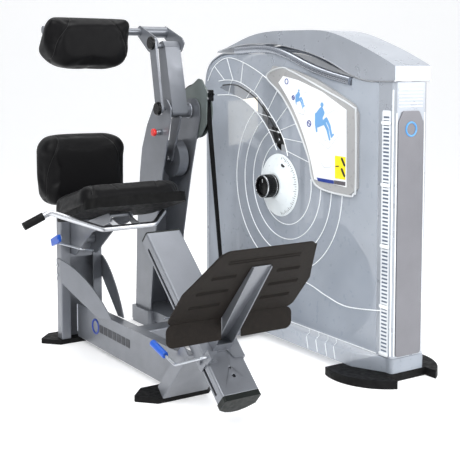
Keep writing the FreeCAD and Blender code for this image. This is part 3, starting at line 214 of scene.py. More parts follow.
def vinyl(name, base):
    """Upholstery vinyl: pebbled grain, faint creasing and a soft sheen."""
    made, tree, shader, place = textured(name)
    pebbles = cells(tree, place, 0.0022)
    creases = noise(tree, place, 0.03, 4.0)
    toned = two_tone(tree, creases, shade(base, 0.82), shade(base, 1.22))
    tree.links.new(mixed(tree, toned, shade(base, 1.5), spread_range(tree, pebbles, 0.0, 0.30, (0.1, 0.6))),
                   shader.inputs["Base Color"])
    tree.links.new(spread_range(tree, creases, 0.42, 0.56), shader.inputs["Roughness"])
    shader.inputs["Sheen Weight"].default_value = 0.02
    shader.inputs["Specular IOR Level"].default_value = 0.14
    relief(tree, shader, pebbles, 0.0004, 0.35)
    return made


def grit(name, base, size, fleck_and_glint_colour):
    """A coarse textured coating: lumps with a few lighter flecks, partly the coating's own and partly
    painted glints of light.
    """
    made, tree, shader, place = textured(name)
    lumps = cells(tree, place, size)
    toned = two_tone(tree, noise(tree, place, 0.02), shade(base, 0.8), shade(base, 1.3))
    # lighter flecks: partly the coating's own, partly painted glints of light on the grit
    fleck_and_glint_share = spread_range(tree, noise(tree, place, size * 0.7, 1.0), 0.0, 0.8, (0.60, 0.72))
    tree.links.new(mixed(tree, toned, fleck_and_glint_colour + (1.0,), fleck_and_glint_share), shader.inputs["Base Color"])
    shader.inputs["Roughness"].default_value = 0.62
    shader.inputs["Specular IOR Level"].default_value = 0.15
    relief(tree, shader, lumps, 0.0012, 0.8)
    return made


def frosted(name, base, opacity, rough=0.32):
    """Frosted see-through plastic: how much shows through drifts slowly over the panel."""
    made, tree, shader, place = textured(name)
    drift = noise(tree, place, 0.35, 3.0)
    tree.links.new(two_tone(tree, drift, shade(base, 0.93), shade(base, 1.05)), shader.inputs["Base Color"])
    tree.links.new(spread_range(tree, drift, opacity * 0.9, min(1.0, opacity * 1.1)), shader.inputs["Alpha"])
    tree.links.new(spread_range(tree, noise(tree, place, 0.03, 3), rough * 0.8, rough * 1.25),
                   shader.inputs["Roughness"])
    shader.inputs["Coat Weight"].default_value = 0.4
    shader.inputs["Coat Roughness"].default_value = 0.18
    relief(tree, shader, noise(tree, place, 0.0015, 1.0), 0.00008, 0.35)
    return made


FINISH = {
    "frame_silver": painted("silver_paint", colour(113, 116, 122)),
    "cap_silver": painted("cap_paint", colour(162, 167, 175), rough=0.30, metal=0.45),
    "trim_grey": painted("trim_paint", colour(112, 112, 117), rough=0.4, metal=0.40),
    "frosted_clear": frosted("frosted_shell", colour(178, 186, 197), 0.50),
    "black_plastic": moulded("black_moulding", colour(7, 7, 9), rough=0.24, gloss=0.3),
    "black_rubber": moulded("black_rubber", colour(13, 13, 14), rough=0.65, grain=0.002, depth=0.0003,
                            gloss=0.2),
    "vinyl_black": vinyl("black_vinyl", colour(7, 6, 9)),
    "card_white": moulded("white_card", colour(243, 245, 247), rough=0.35, contrast=0.015),
    "dial_white": moulded("white_moulding", colour(226, 233, 236), rough=0.32, contrast=0.03, coat=0.3),
    "steel_dark": painted("black_plates", colour(52, 54, 58), rough=0.45, metal=0.6),
    "steel_bright": steel("bright_steel", colour(205, 207, 210), 0.22),
    "tube_silver": steel("satin_tube", colour(196, 198, 202), 0.30, stretch=(0.06, 1, 1)),
    "blue_plastic": moulded("blue_moulding", colour(38, 92, 190), rough=0.3, coat=0.5),
    "red_plastic": moulded("red_moulding", colour(222, 32, 26), rough=0.3, coat=0.5),
    "olive_grey": painted("cam_paint", colour(112, 120, 118), rough=0.4, metal=0.5),
    "tread_black": grit("tread_coating", colour(30, 26, 23), size=0.0016, fleck_and_glint_colour=(0.034, 0.030, 0.026)),
    "pulley_black": moulded("pulley_moulding", colour(34, 35, 37), rough=0.4),
}
BLUE_GRIP = (colour(30, 82, 176), 0.34, 0.0)
PLATED_ROD = (colour(176, 180, 186), 0.28, 1.0)
NODE_FINISH = {
    "seat_lever": two_part("lever_blue_and_rod", BLUE_GRIP, PLATED_ROD, 0, at(-1037, 0, 0).x),
    "foot_lever": two_part("rod_and_blue_grip", PLATED_ROD, BLUE_GRIP, 1, at(0, -524, 0).y),
    "top_rail": painted("rail_tube_paint", colour(150, 155, 164), rough=0.2, metal=0.85, coat=0.6),
    "vent_strip": frosted("vent_ladder", colour(232, 236, 240), 0.92),
    "placard_holder": frosted("card_holder", colour(186, 186, 186), 0.72),
    "seat_pan": moulded("seat_pan_black", colour(7, 7, 8), rough=0.6, grain=0.002, gloss=0.15),
    "rail_caps": moulded("rail_cap_black", colour(16, 22, 20), rough=0.5, grain=0.002, gloss=0.25),
}
EXTRA = {
    "rib": moulded("rib_white", colour(236, 240, 243), rough=0.25, contrast=0.02, coat=0.4),
    "rim": frosted("holder_rim", colour(222, 226, 229), 0.75),
    "figure": moulded("print_light_blue", colour(112, 163, 214), rough=0.4, contrast=0.05),
    "line_blue": moulded("print_dark_blue", colour(40, 62, 140), rough=0.4, contrast=0.05),
    "sketch": moulded("print_pale_grey", colour(206, 210, 214), rough=0.4, contrast=0.03),
    "yellow": moulded("print_yellow", colour(246, 224, 40), rough=0.4, contrast=0.03),
    "umber": moulded("print_grey_brown", colour(92, 88, 92), rough=0.4, contrast=0.05),
    "ink": moulded("print_ink", colour(34, 36, 44), rough=0.4, contrast=0.05),
    "sky": moulded("print_sky_blue", colour(84, 150, 214), rough=0.35, contrast=0.04),
    # painted light: the inner board glows faintly, standing in for light reaching it through the shell
    "panel": lit(moulded("inner_panel", colour(232, 226, 214), rough=0.5, contrast=0.03), 0.45),
    "shadow": moulded("inner_shadow", colour(96, 106, 122), rough=0.5, contrast=0.10),
    "dark_panel": moulded("inner_dark", colour(96, 96, 98), rough=0.5, contrast=0.06),
    "gap": moulded("deep_gap", colour(14, 15, 17), rough=0.6),
    "weld": steel("weld_bead", colour(176, 180, 188), 0.35, stretch=(1, 1, 1), contrast=0.2),
    "thread": moulded("seam_welt", colour(11, 11, 13), rough=0.5),
}


# ---------- mesh building ----------

def spline(points, steps=8, closed=False):
    """A smooth curve through the points, as a list of points."""
    count = len(points)
    out = []
    for i in range(count if closed else count - 1):
        if closed:
            a, b, c, d = (points[(i + k) % count] for k in (-1, 0, 1, 2))
        else:
            a, b, c, d = (points[min(max(i + k, 0), count - 1)] for k in (-1, 0, 1, 2))
        for step in range(steps):
            t = step / steps
            out.append(0.5 * ((2 * b) + (c - a) * t + (2 * a - 5 * b + 4 * c - d) * t * t
                              + (3 * b - a - 3 * c + d) * t ** 3))
    if not closed:
        out.append(points[-1])
    return out


def circle(centre, radius, u_axis, v_axis, count=48, start=0.0, turn=360.0):
    """Points round a circle, or along an arc of it, in degrees from u towards v."""
    whole = abs(turn) >= 360
    out = []
    for i in range(count if whole else count + 1):
        angle = math.radians(start + turn * i / count)
        out.append(centre + u_axis * (radius * math.cos(angle)) + v_axis * (radius * math.sin(angle)))
    return out


class Shape:
    """Gathers closed shells, then becomes one piece that rides on a body."""

    def __init__(self):
        self.points = []
        self.faces = []

    def add(self, points, faces):
        first = len(self.points)
        self.points += [tuple(p) for p in points]
        self.faces += [tuple(first + i for i in face) for face in faces]

    def loft(self, rings):
        """A closed shell through rings of equal point count, with a cap on each end."""
        count = len(rings[0])
        faces = [tuple(reversed(range(count))), tuple(range(count * (len(rings) - 1), count * len(rings)))]
        for r in range(len(rings) - 1):
            for i in range(count):
                j = (i + 1) % count
                faces.append((r * count + i, r * count + j, (r + 1) * count + j, (r + 1) * count + i))
        self.add([p for ring in rings for p in ring], faces)

    def slab(self, outline, push, round_off=0.0):
        """An outline pushed into a plate, with its front edge broken by round_off."""
        middle = sum(outline, Vector()) / len(outline)
        rings = [outline]
        if round_off:
            inset = [p + (middle - p).normalized() * round_off for p in outline]
            rings += [[p + push * 0.8 for p in outline], [p + push for p in inset]]
        else:
            rings.append([p + push for p in outline])
        self.loft(rings)

    def tube(self, path, radius, sides=8, closed=False):
        """A round rod along a path. radius is one number, or one for each point."""
        count = len(path)
        radii = [radius] * count if isinstance(radius, (int, float)) else list(radius)
        rings = []
        side = None
        for i, p in enumerate(path):
            before = path[(i - 1) % count] if closed else path[max(i - 1, 0)]
            after = path[(i + 1) % count] if closed else path[min(i + 1, count - 1)]
            ahead = (after - before).normalized()
            if side is None:
                side = ahead.orthogonal().normalized()
            side = (side - ahead * side.dot(ahead)).normalized()
            rings.append(circle(p, radii[i], side, ahead.cross(side), sides))
        if not closed:
            self.loft(rings)
            return
        faces = []
        for r in range(count):
            for i in range(sides):
                j = (i + 1) % sides
                n = (r + 1) % count
                faces.append((r * sides + i, r * sides + j, n * sides + j, n * sides + i))
        self.add([p for ring in rings for p in ring], faces)

    def turned(self, centre, axis, profile, count=40):
        """A shell turned about an axis. profile is (radius, height along the axis) from end to end."""
        u_axis = axis.orthogonal().normalized()
        v_axis = axis.cross(u_axis)
        self.loft([circle(centre + axis * height, max(radius, 1e-5), u_axis, v_axis, count)
                   for radius, height in profile])

    def become(self, name, body, slot, finish=None):
        """Makes the piece, in its slot's own finish unless another is given."""
        mesh = bpy.data.meshes.new(name)
        mesh.from_pydata(self.points, [], self.faces)
        mesh.materials.append(finish or FINISH[slot])
        piece = bpy.data.objects.new(name, mesh)
        bpy.context.scene.collection.objects.link(piece)
        mesh.polygons.foreach_set("use_smooth", [True] * len(mesh.polygons))
        mesh.set_sharp_from_angle(angle=math.radians(35))
        mesh.update()
        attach(piece, body)


def face_points(x, pairs):
    """Points on an upright plane that faces the user, from (y, z) pairs."""
    return [at(x, y, z) for y, z in pairs]


# ---------- CAD nodes: finish and softened edges ----------

SOFT_EDGE_MM = {
    "frame_silver": 1.6, "cap_silver": 2.0, "trim_grey": 1.2, "frosted_clear": 1.5,
    "black_plastic": 1.5, "black_rubber": 1.5, "steel_dark": 1.0, "olive_grey": 1.5, "tread_black": 1.2,
}
ALREADY_ROUND = ("top_rail", "weight_stack", "start_pin", "foot_lever", "seat_lever", "guide_rods",
                 "drive_belt", "vent_strip", "hand_grip", "handle_bar", "movement_arm")


def dress_node(name, node):
    """Gives a CAD node its finish and breaks its sharp edges with modifiers."""
    finish = NODE_FINISH.get(name) or FINISH[SLOT_OF[name]]
    for slot in node.material_slots:
        slot.material = finish
    if not node.material_slots:
        node.data.materials.append(finish)
    wide = SOFT_EDGE_MM.get(SLOT_OF[name])
    if wide is None or name in ALREADY_ROUND:
        return
    weld = node.modifiers.new("join", "WELD")
    weld.merge_threshold = 0.00002
    bevel = node.modifiers.new("soft_edges", "BEVEL")
    bevel.width = wide * MM
    bevel.segments = 2
    bevel.limit_method = "ANGLE"
    bevel.angle_limit = math.radians(40)
    bevel.use_clamp_overlap = True
    node.modifiers.new("shading", "WEIGHTED_NORMAL").keep_sharp = True


def dress_frame():
    for name, node in NODES.items():
        dress_node(name, node)


# ---------- cushions ----------

def rounded_rectangle(half_u, half_v, radii, inset, arc=7):
    """A rounded rectangle in its own plane, (u, v) pairs. radii run from the top right, anticlockwise."""
    out = []
    corners = ((1, 1, 0), (-1, 1, 90), (-1, -1, 180), (1, -1, 270))
    for (su, sv, start), radius in zip(corners, radii):
        bend = max(radius - inset, 4)
        cu = su * (half_u - inset - bend)
        cv = sv * (half_v - inset - bend)
        for i in range(arc + 1):
            angle = math.radians(start + 90 * i / arc)
            out.append((cu + bend * math.cos(angle), cv + bend * math.sin(angle)))
    return out


class Cushion:
    """A padded block: u runs across it, v up its face, and n out of its face. Sizes in millimetres."""

    def __init__(self, centre, u_axis, v_axis, half_u, half_v, thick, radii, front_round, back_round):
        self.centre, self.u_axis, self.v_axis = centre, u_axis, v_axis
        self.n_axis = u_axis.cross(v_axis)
        self.half_u, self.half_v, self.thick = half_u, half_v, thick
        self.radii, self.front_round, self.back_round = radii, front_round, back_round

    def point(self, u, v, n):
        return self.centre + (self.u_axis * u + self.v_axis * v + self.n_axis * n) * MM

    def start_mesh(self, name, lean):
        """The block before it swells. lean(u, v, n) gives the moved (u, v, n) of each point."""
        angles = [math.radians(90 * i / 4) for i in range(5)]
        back, front = self.back_round, self.front_round
        levels = [(back * (1 - math.sin(a)), back * (1 - math.cos(a))) for a in angles]
        levels += [(front * (1 - math.cos(a)), self.thick - front * (1 - math.sin(a))) for a in angles]
        rings = []
        for inset, level in levels:
            ring = rounded_rectangle(self.half_u, self.half_v, self.radii, inset)
            rings.append([self.point(*lean(u, v, level)) for u, v in ring])
        body = Shape()
        body.loft(rings)
        mesh = bpy.data.meshes.new(name)
        mesh.from_pydata(body.points, [], body.faces)
        piece = bpy.data.objects.new(name, mesh)
        bpy.context.scene.collection.objects.link(piece)
        return piece


def settle(piece):
    """Replaces the piece's mesh with what its modifiers make of it."""
    evaluated = piece.evaluated_get(bpy.context.evaluated_depsgraph_get())
    mesh = bpy.data.meshes.new_from_object(evaluated)
    piece.modifiers.clear()
    piece.data = mesh


def vertex_rows(mesh, what):
    """Every vertex's "co" or "normal", one row for each."""
    flat = np.zeros(len(mesh.vertices) * 3)
    mesh.vertices.foreach_get(what, flat)
    return flat.reshape(-1, 3)


def set_coordinates(mesh, places):
    mesh.vertices.foreach_set("co", places.astype(np.float32).ravel())
    mesh.update()


CLOTH_FRAMES = 20
VOXEL = 0.0055
EASING_PASSES = 14
SEAM_DEPTH = 0.0028
SEAM_WIDE = 0.0060
WELT_RADIUS = 0.0010


def swell(piece, resting, cap):
    """Presses the cover out from inside as cloth. resting marks the points that lie on the board."""
    remesh = piece.modifiers.new("even_mesh", "REMESH")
    remesh.mode = "VOXEL"
    remesh.voxel_size = VOXEL
    settle(piece)
    rest = vertex_rows(piece.data, "co")
    held = resting(rest, vertex_rows(piece.data, "normal"))
    pins = piece.vertex_groups.new(name="pins")
    pins.add([int(i) for i in np.nonzero(held)[0]], 1.0, "REPLACE")
    cloth = piece.modifiers.new("cover", "CLOTH")
    cloth.settings.quality = 5
    cloth.settings.mass = 0.3
    cloth.settings.tension_stiffness = 12
    cloth.settings.compression_stiffness = 12
    cloth.settings.bending_stiffness = 0.6
    cloth.settings.use_pressure = True
    cloth.settings.uniform_pressure_force = 4.0
    cloth.settings.effector_weights.gravity = 0.0
    cloth.settings.vertex_group_mass = "pins"
    cloth.point_cache.frame_end = CLOTH_FRAMES
    scene = bpy.context.scene
    for step in range(1, CLOTH_FRAMES + 1):
        scene.frame_set(step)
    evaluated = piece.evaluated_get(bpy.context.evaluated_depsgraph_get())
    moved = vertex_rows(evaluated.data, "co") - rest
    piece.modifiers.clear()
    piece.vertex_groups.clear()
    length = np.linalg.norm(moved, axis=1)
    set_coordinates(piece.data, rest + moved * np.minimum(1, cap / np.maximum(length, 1e-9))[:, None])
    scene.frame_set(1)


def on_surface(piece, cushion, pairs):
    """A seam path laid on the cushion's face: each (u, v) is dropped on to the mesh from the front."""
    in_front = cushion.thick + 60
    mesh = piece.data
    tree = BVHTree.FromPolygons([v.co for v in mesh.vertices], [p.vertices for p in mesh.polygons])
    path = []
    for spot in spline([Vector((u, v, 0)) for u, v in pairs], 14):
        hit = tree.ray_cast(cushion.point(spot.x, spot.y, in_front), -cushion.n_axis)[0]
        if hit is None:
            hit = tree.find_nearest(cushion.point(spot.x, spot.y, cushion.thick * 0.5))[0]
        path.append(hit)
    return path


def press_seam(piece, path, depth, wide):
    """Pulls the cover in along a seam, with a soft shoulder on both sides."""
    places = vertex_rows(piece.data, "co")
    inward = -vertex_rows(piece.data, "normal")
    line = np.array([list(p) for p in path])
    nearest = np.full(len(places), 1e9)
    for a, b in zip(line, line[1:]):
        along = np.clip(((places - a) @ (b - a)) / max((b - a) @ (b - a), 1e-12), 0, 1)
        nearest = np.minimum(nearest, np.linalg.norm(places - a - along[:, None] * (b - a), axis=1))
    amount = depth * np.exp(-(nearest / wide) ** 2)
    set_coordinates(piece.data, places + inward * amount[:, None])


def upholster(name, node, body, cushion, lean, resting, seams, cap):
    """Builds one cushion with its seams, and puts it in the place of the CAD solid."""
    piece = cushion.start_mesh(name, lean)
    swell(piece, resting, cap)
    smooth = piece.modifiers.new("ease", "SMOOTH")
    smooth.iterations = EASING_PASSES
    settle(piece)
    subdivide = piece.modifiers.new("fine", "SUBSURF")
    subdivide.levels = 1
    settle(piece)
    welt = Shape()
    for pairs in seams:
        press_seam(piece, on_surface(piece, cushion, pairs), SEAM_DEPTH, SEAM_WIDE)
        welt.tube(on_surface(piece, cushion, pairs), WELT_RADIUS, 6)
    piece.data.materials.clear()
    piece.data.materials.append(FINISH["vinyl_black"])
    piece.data.polygons.foreach_set("use_smooth", [True] * len(piece.data.polygons))
    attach(piece, body)
    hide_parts(node)
    welt.become(name + "_welt", body, "vinyl_black", EXTRA["thread"])


def box_middle(node):
    """The middle of a node's box in the frame's metres, and its size in millimetres."""
    low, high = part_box(node)
    return (low + high) / 2, (high - low) / MM


def back_middle(node):
    """The middle of the back side of a node's box."""
    low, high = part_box(node)
    return Vector(((low.x + high.x) / 2, high.y, (low.z + high.z) / 2))


def upper_cushion():
    """The roll behind the shoulders: flat in front, its cover wrapped round a sloping board."""
    size = box_middle("upper_cushion")[1]
    behind, lift = 17, 6
    deep = size.y + 14
    start = back_middle("upper_cushion") + Vector((0, behind * MM, lift * MM))
    cushion = Cushion(start, RIGHT, UP, size.x / 2, size.z / 2 + 8, deep, (38, 38, 96, 96), 46, 16)
    slope_foot, taper_top = 87, 72

    def lean(u, v, n):
        height = v + size.z / 2 + lift
        back_share = 1 - n / deep
        forward = max(0.0, height - slope_foot) * 0.80 + max(0.0, taper_top - height) * 0.72
        return u, v, n + forward * back_share

    board = np.array((0, 0.77, 0.64))
    seams = [[(side * 95, 112), (side * 118, 78), (side * 158, 24), (side * 178, -30), (side * 184, -95)]
             for side in (-1, 1)]
    upholster("upper_roll_cover", "upper_cushion", "upper_pad", cushion, lean,
              lambda places, facing: (facing @ board) > 0.93, seams, 0.010)


def lumbar_cushion():
    """The pad at the hips: its top edge crowned, its left side drawn in towards the bottom."""
    size = box_middle("lumbar_cushion")[1]
    start = back_middle("lumbar_cushion")
    cushion = Cushion(start, RIGHT, UP, size.x / 2 - 5, size.z / 2 - 5, size.y - 6, (70, 70, 62, 62), 40, 16)

    def lean(u, v, n):
        rise = (v + size.z / 2) / size.z
        crown = 9 * math.exp(-(u / 110) ** 2) * max(0.0, rise - 0.6) * 2.5
        narrow = 1 - 0.07 * (1 - rise) * (1 if u < 0 else 0.2)
        return u * narrow, v + crown, n

    seams = [[(-128, 158), (-160, 90), (-184, 10), (-190, -70), (-188, -150)],
             [(104, 158), (142, 105), (168, 30), (184, -60), (188, -150)]]
    board_y = start.y - 0.004
    upholster("lumbar_cover", "lumbar_cushion", "seat", cushion, lean,
              lambda places, facing: (places[:, 1] > board_y) & (facing[:, 1] > 0.8), seams, 0.010)


SEAT_TILT = math.radians(16.5)


def seat_cushion():
    """The tilted seat: slightly hollow in the middle, its cover reaching down round the pan."""
    middle, size = box_middle("seat_cushion")
    ahead = Vector((0, -math.cos(SEAT_TILT), math.sin(SEAT_TILT)))
    over = Vector((0, math.sin(SEAT_TILT), math.cos(SEAT_TILT)))
    thick = 84.0
    below_middle = 53
    deep = (size.y - thick * math.sin(SEAT_TILT)) / math.cos(SEAT_TILT)
    start = middle - over * (below_middle * MM)
    cushion = Cushion(start, ahead, RIGHT, deep / 2, size.x / 2, thick - 5, (130, 130, 70, 70), 30, 12)
    cushion.n_axis = over

    def lean(u, v, n):
        front = max(0.0, u / (deep / 2))
        hollow = -5 * math.exp(-(v / 120) ** 2) * (n / thick)
        return u, v, n + hollow - 10 * front ** 3 * (n / thick)

    def resting(places, facing):
        return (facing @ np.array(over)) < -0.8

    seams = [[(deep / 2 - 16, side * 210), (deep / 2 - 52, side * 190), (deep / 2 - 70, side * 150),
              (deep / 2 - 52, side * 112), (deep / 2 - 16, side * 96)] for side in (-1, 1)]
    upholster("seat_cover", "seat_cushion", "seat", cushion, lean, resting, seams, 0.009)


# ---------- tower ----------

WALL_X = -93
RIB_X = WALL_X - 1


def shroud_ribs():
    """Raised lines on the frosted panel: rings round the dial, a fan of ribs and the window's edges."""
    ribs = Shape()
    centre = at(RIB_X, 8, 762)
    for radius, start, turn in ((198, 64, -254), (268, 60, -240), (343, 56, -238), (418, 52, -236)):
        ribs.tube(circle(centre, radius * MM, BACK, UP, 72, start, turn), 0.0024, 6)
    outer = spline(face_points(RIB_X, [(706, 1233), (640, 1310), (520, 1353), (370, 1330), (198, 1268),
                                       (95, 1205), (1, 1139), (-72, 1075), (-132, 1001), (-188, 915),
                                       (-223, 824)]), 6)
    inner = spline(face_points(RIB_X, [(597, 1234), (500, 1240), (390, 1227), (240, 1165), (113, 1063),
                                       (62, 1012), (23, 963), (-9, 890)]), 8)
    deep = spline(face_points(RIB_X, [(607, 1161), (436, 1160), (283, 1105), (154, 1008), (79, 911)]), 8)
    for path in (outer, inner, deep):
        ribs.tube(path, 0.0024, 6)
    for share in (0.10, 0.20, 0.30, 0.41, 0.52, 0.63, 0.74, 0.85, 0.95):
        ribs.tube([outer[int(share * (len(outer) - 1))], inner[int(share * (len(inner) - 1))]], 0.0020, 6)
    for share in (0.18, 0.38, 0.58, 0.78):
        ribs.tube([inner[int(share * (len(inner) - 1))], deep[int(share * (len(deep) - 1))]], 0.0016, 6)
    ribs.tube(spline(face_points(RIB_X, [(60, 318), (-159, 313), (-300, 282), (-450, 262), (-683, 293)]), 8),
              0.0028, 6)
    ribs.become("shroud_ribs", "root", "frosted_clear", EXTRA["rib"])


def window_edge():
    """Painted shade: a dark tube along the edge of the opening above the dial, standing for the shade in the
    gap.
    """
    edge = Shape()
    curve = face_points(WALL_X - 0.5, [(560, 1213), (470, 1217), (390, 1205), (250, 1148), (130, 1048),
                                       (40, 950)])
    edge.tube(spline(curve, 8), 0.0030, 6)
    edge.become("window_edge", "root", "black_plastic", EXTRA["gap"])


def inner_panels():
    """What shows dimly through the frosted shell: a pale board, a grey board, a bracket, a drum."""
    board = Shape()
    board.slab(face_points(-82, [(530, 1130), (262, 1158), (258, 1000), (360, 930), (520, 900)]),
               RIGHT * 0.002)
    board.become("inner_board", "root", "frosted_clear", EXTRA["panel"])
    plate = Shape()
    plate.slab(face_points(-84, [(300, 968), (152, 1030), (78, 956), (215, 930)]), RIGHT * 0.002)
    plate.become("inner_grey_board", "root", "trim_grey", EXTRA["dark_panel"])
    bracket = Shape()
    bracket.slab(face_points(-87, [(134, 1022), (49, 1010), (30, 940), (102, 944)]), RIGHT * 0.003)
    bracket.become("dial_bracket", "root", "black_plastic", EXTRA["gap"])
    bolts = Shape()
    for y, z in ((76, 996), (66, 962)):
        bolts.turned(at(-94, y, z), RIGHT, ((0, 0), (0.006, 0), (0.008, 0.002), (0.008, 0.006)), 20)
    bolts.become("dial_bracket_bolts", "root", "steel_bright")
    drum = Shape()
    outline = [(-60, 560), (-300, 640), (-430, 610), (-560, 500), (-622, 390), (-590, 250), (-520, 170),
               (-430, 112), (-100, 112), (300, 112), (420, 300), (430, 800), (380, 930), (240, 900),
               (205, 700), (120, 560)]
    drum.slab(face_points(-84, outline), RIGHT * 0.002)
    drum.become("inner_drum", "root", "trim_grey", EXTRA["shadow"])


def base_ribs():
    """Kneed ribs and crease lines on the flared foot of the shell."""
    flare_x = (BASE_LOW.x - TOWER.x) / MM
    ribs = Shape()
    for y in (-250, -318, -384, -442):
        path = [at(WALL_X - 1, y + 66, 101), at(-128, y + 20, 101), at(flare_x + 4, y, 99),
                at(flare_x - 1, y, 90), at(flare_x - 1, y - 12, 40)]
        ribs.tube(path, 0.0020, 6)
    ribs.tube([at(WALL_X - 1.5, 500, 103), at(WALL_X - 1.5, -640, 103)], 0.0026, 6)
    ribs.become("base_ribs", "root", "frosted_clear", EXTRA["rib"])


def vent_tabs():
    """The wider pill tabs, and beside the vent ladder a painted highlight: a white line on the column's
    rounded edge.
    """
    tabs = Shape()
    for z in (1078, 822, 566, 312, 112):
        outline = []
        for side, start in ((1, -90), (-1, 90)):
            end = at(WALL_X - 4, -690 + side * 20, z)
            outline += circle(end, 0.008, BACK, UP, 8, start, 180)
        tabs.slab(outline, LEFT * 0.004, 0.002)
    tabs.become("vent_tabs", "root", "frosted_clear", EXTRA["rib"])
    backing = Shape()
    low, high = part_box("vent_strip")
    side = high.x - 0.0008
    fore, aft = low.y + 0.004, high.y - 0.004
    bottom, top = low.z + 0.006, high.z - 0.006
    corners = ((fore, bottom), (aft, bottom), (aft, top), (fore, top))
    backing.slab([Vector((side, y, z)) for y, z in corners], LEFT * 0.0008)
    backing.become("vent_backing", "root", "trim_grey", EXTRA["shadow"])
    # painted highlight: a white tube for the light caught along the column's rounded edge
    edge = Shape()
    edge.tube([at(WALL_X - 1, -727, 110), at(WALL_X - 1, -727, 1215)], 0.0032, 8)
    edge.become("column_edge", "root", "cap_silver", EXTRA["rib"])


def column_details():
    """Grooves near the column's top, and a plain ring as the badge on the trim."""
    low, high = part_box("column_trim")
    front = low.y - 0.0005
    middle = (low.x + high.x) / 2
    grooves = Shape()
    for i in range(6):
        z = 1.146 + 0.014 * i
        grooves.tube([Vector((low.x + 0.004, front + 0.004, z)), Vector((high.x - 0.006, front + 0.004, z))],
                     0.0022, 6)
    grooves.become("column_grooves", "root", "cap_silver", EXTRA["rib"])
    badge = Shape()
    centre = Vector((middle, front, high.z - 0.075))
    badge.tube(circle(centre, 0.028, RIGHT, UP, 40), 0.0038, 8, closed=True)
    badge.become("column_roundel", "root", "blue_plastic", EXTRA["sky"])
    strip = Shape()
    for side in (low.x - 0.006, high.x + 0.008):
        strip.tube([Vector((side, front + 0.005, 0.11)), Vector((side, front + 0.005, 1.12))], 0.0026, 8)
    strip.become("column_side_lines", "root", "cap_silver", EXTRA["rib"])


def cap_details():
    """The lip along the cap's lower edge, on both sides; its bright steel finish, lighter than the cap's
    paint, is a painted highlight.
    """
    lip = Shape()
    curve = [(-742, 1250), (-651, 1248), (-558, 1252), (-480, 1270), (-425, 1289), (-294, 1339),
             (-146, 1377), (10, 1403), (109, 1416), (300, 1419), (500, 1403), (600, 1380)]
    for x in (-100, 100):
        lip.tube(spline([at(x, y, z + 1) for y, z in curve], 5), 0.0026, 8)
    lip.become("cap_lip", "root", "cap_silver", FINISH["tube_silver"])


def placard_rim():
    """The raised, rounded edge of the card holder."""
    front = (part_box("placard_holder")[0].x - TOWER.x) / MM
    rim = Shape()
    points = [(150, 1262), (34, 1303), (-60, 1284), (-318, 1199), (-490, 1138), (-511, 1100), (-514, 800),
              (-500, 765), (-461, 752), (-240, 776), (-180, 905), (-80, 1060), (30, 1178)]
    rim.tube(spline(face_points(front, points), 7, closed=True), 0.0045, 10, closed=True)
    rim.become("placard_rim", "root", "frosted_clear", EXTRA["rim"])


class Print:
    """Flat shapes printed on the card: (y, z) coordinates on its face."""

    def __init__(self, x):
        self.x = x
        self.shape = Shape()
        self.count = 0

    def ink(self, outline):
        """One mark. Each stands a hair prouder than the last, so that no two faces coincide."""
        self.count += 1
        self.shape.slab(outline, LEFT * (0.0005 + 0.00003 * self.count))

    def dot(self, y, z, radius):
        self.ink(circle(at(self.x, y, z), radius * MM, FORWARD, UP, 24))

    def patch(self, pairs):
        self.ink(face_points(self.x, pairs))

    def stroke(self, pairs, radii):
        """A tapering limb with round ends between each two spots."""
        spots = face_points(self.x, pairs)
        for a, b, ra, rb in zip(spots, spots[1:], radii, radii[1:]):
            ahead = (b - a).normalized()
            across = ahead.cross(LEFT)
            ends = ((a, ra, across, -ahead), (b, rb, -across, ahead))
            self.ink([p for spot, r, u, v in ends for p in circle(spot, r * MM, u, v, 8, 0, 180)])

    def ring(self, y, z, radius, thick):
        self.shape.tube(circle(at(self.x, y, z), radius * MM, FORWARD, UP, 28), thick, 6, closed=True)

    def become(self, name, finish):
        self.shape.become(name, "root", "card_white", finish)


def seated_figure(prints, y, z, size):
    """A plain seated figure that leans forward, knees up, seen from the side."""
    def spot(a, b):
        return y - a * size, z + b * size

    prints.dot(*spot(5, 96), 11 * size)
    limbs = (([(4, 84), (0, 70)], (6, 13)), ([(0, 66), (-24, 42), (-26, 8)], (19, 20, 17)),
             ([(10, 60), (-10, 38), (-2, 22)], (14, 18, 16)), ([(-24, 5), (18, 16), (38, 32)], (13, 11, 9)),
             ([(38, 32), (60, 4), (76, -44)], (9, 8, 6)), ([(22, 18), (46, -14), (62, -58)], (9, 8, 5)),
             ([(76, -44), (88, -34)], (5, 4)), ([(-36, 50), (-38, 6), (-32, -26)], (9, 7, 5)))
    for joints, radii in limbs:
        prints.stroke([spot(*joint) for joint in joints], [radius * size for radius in radii])


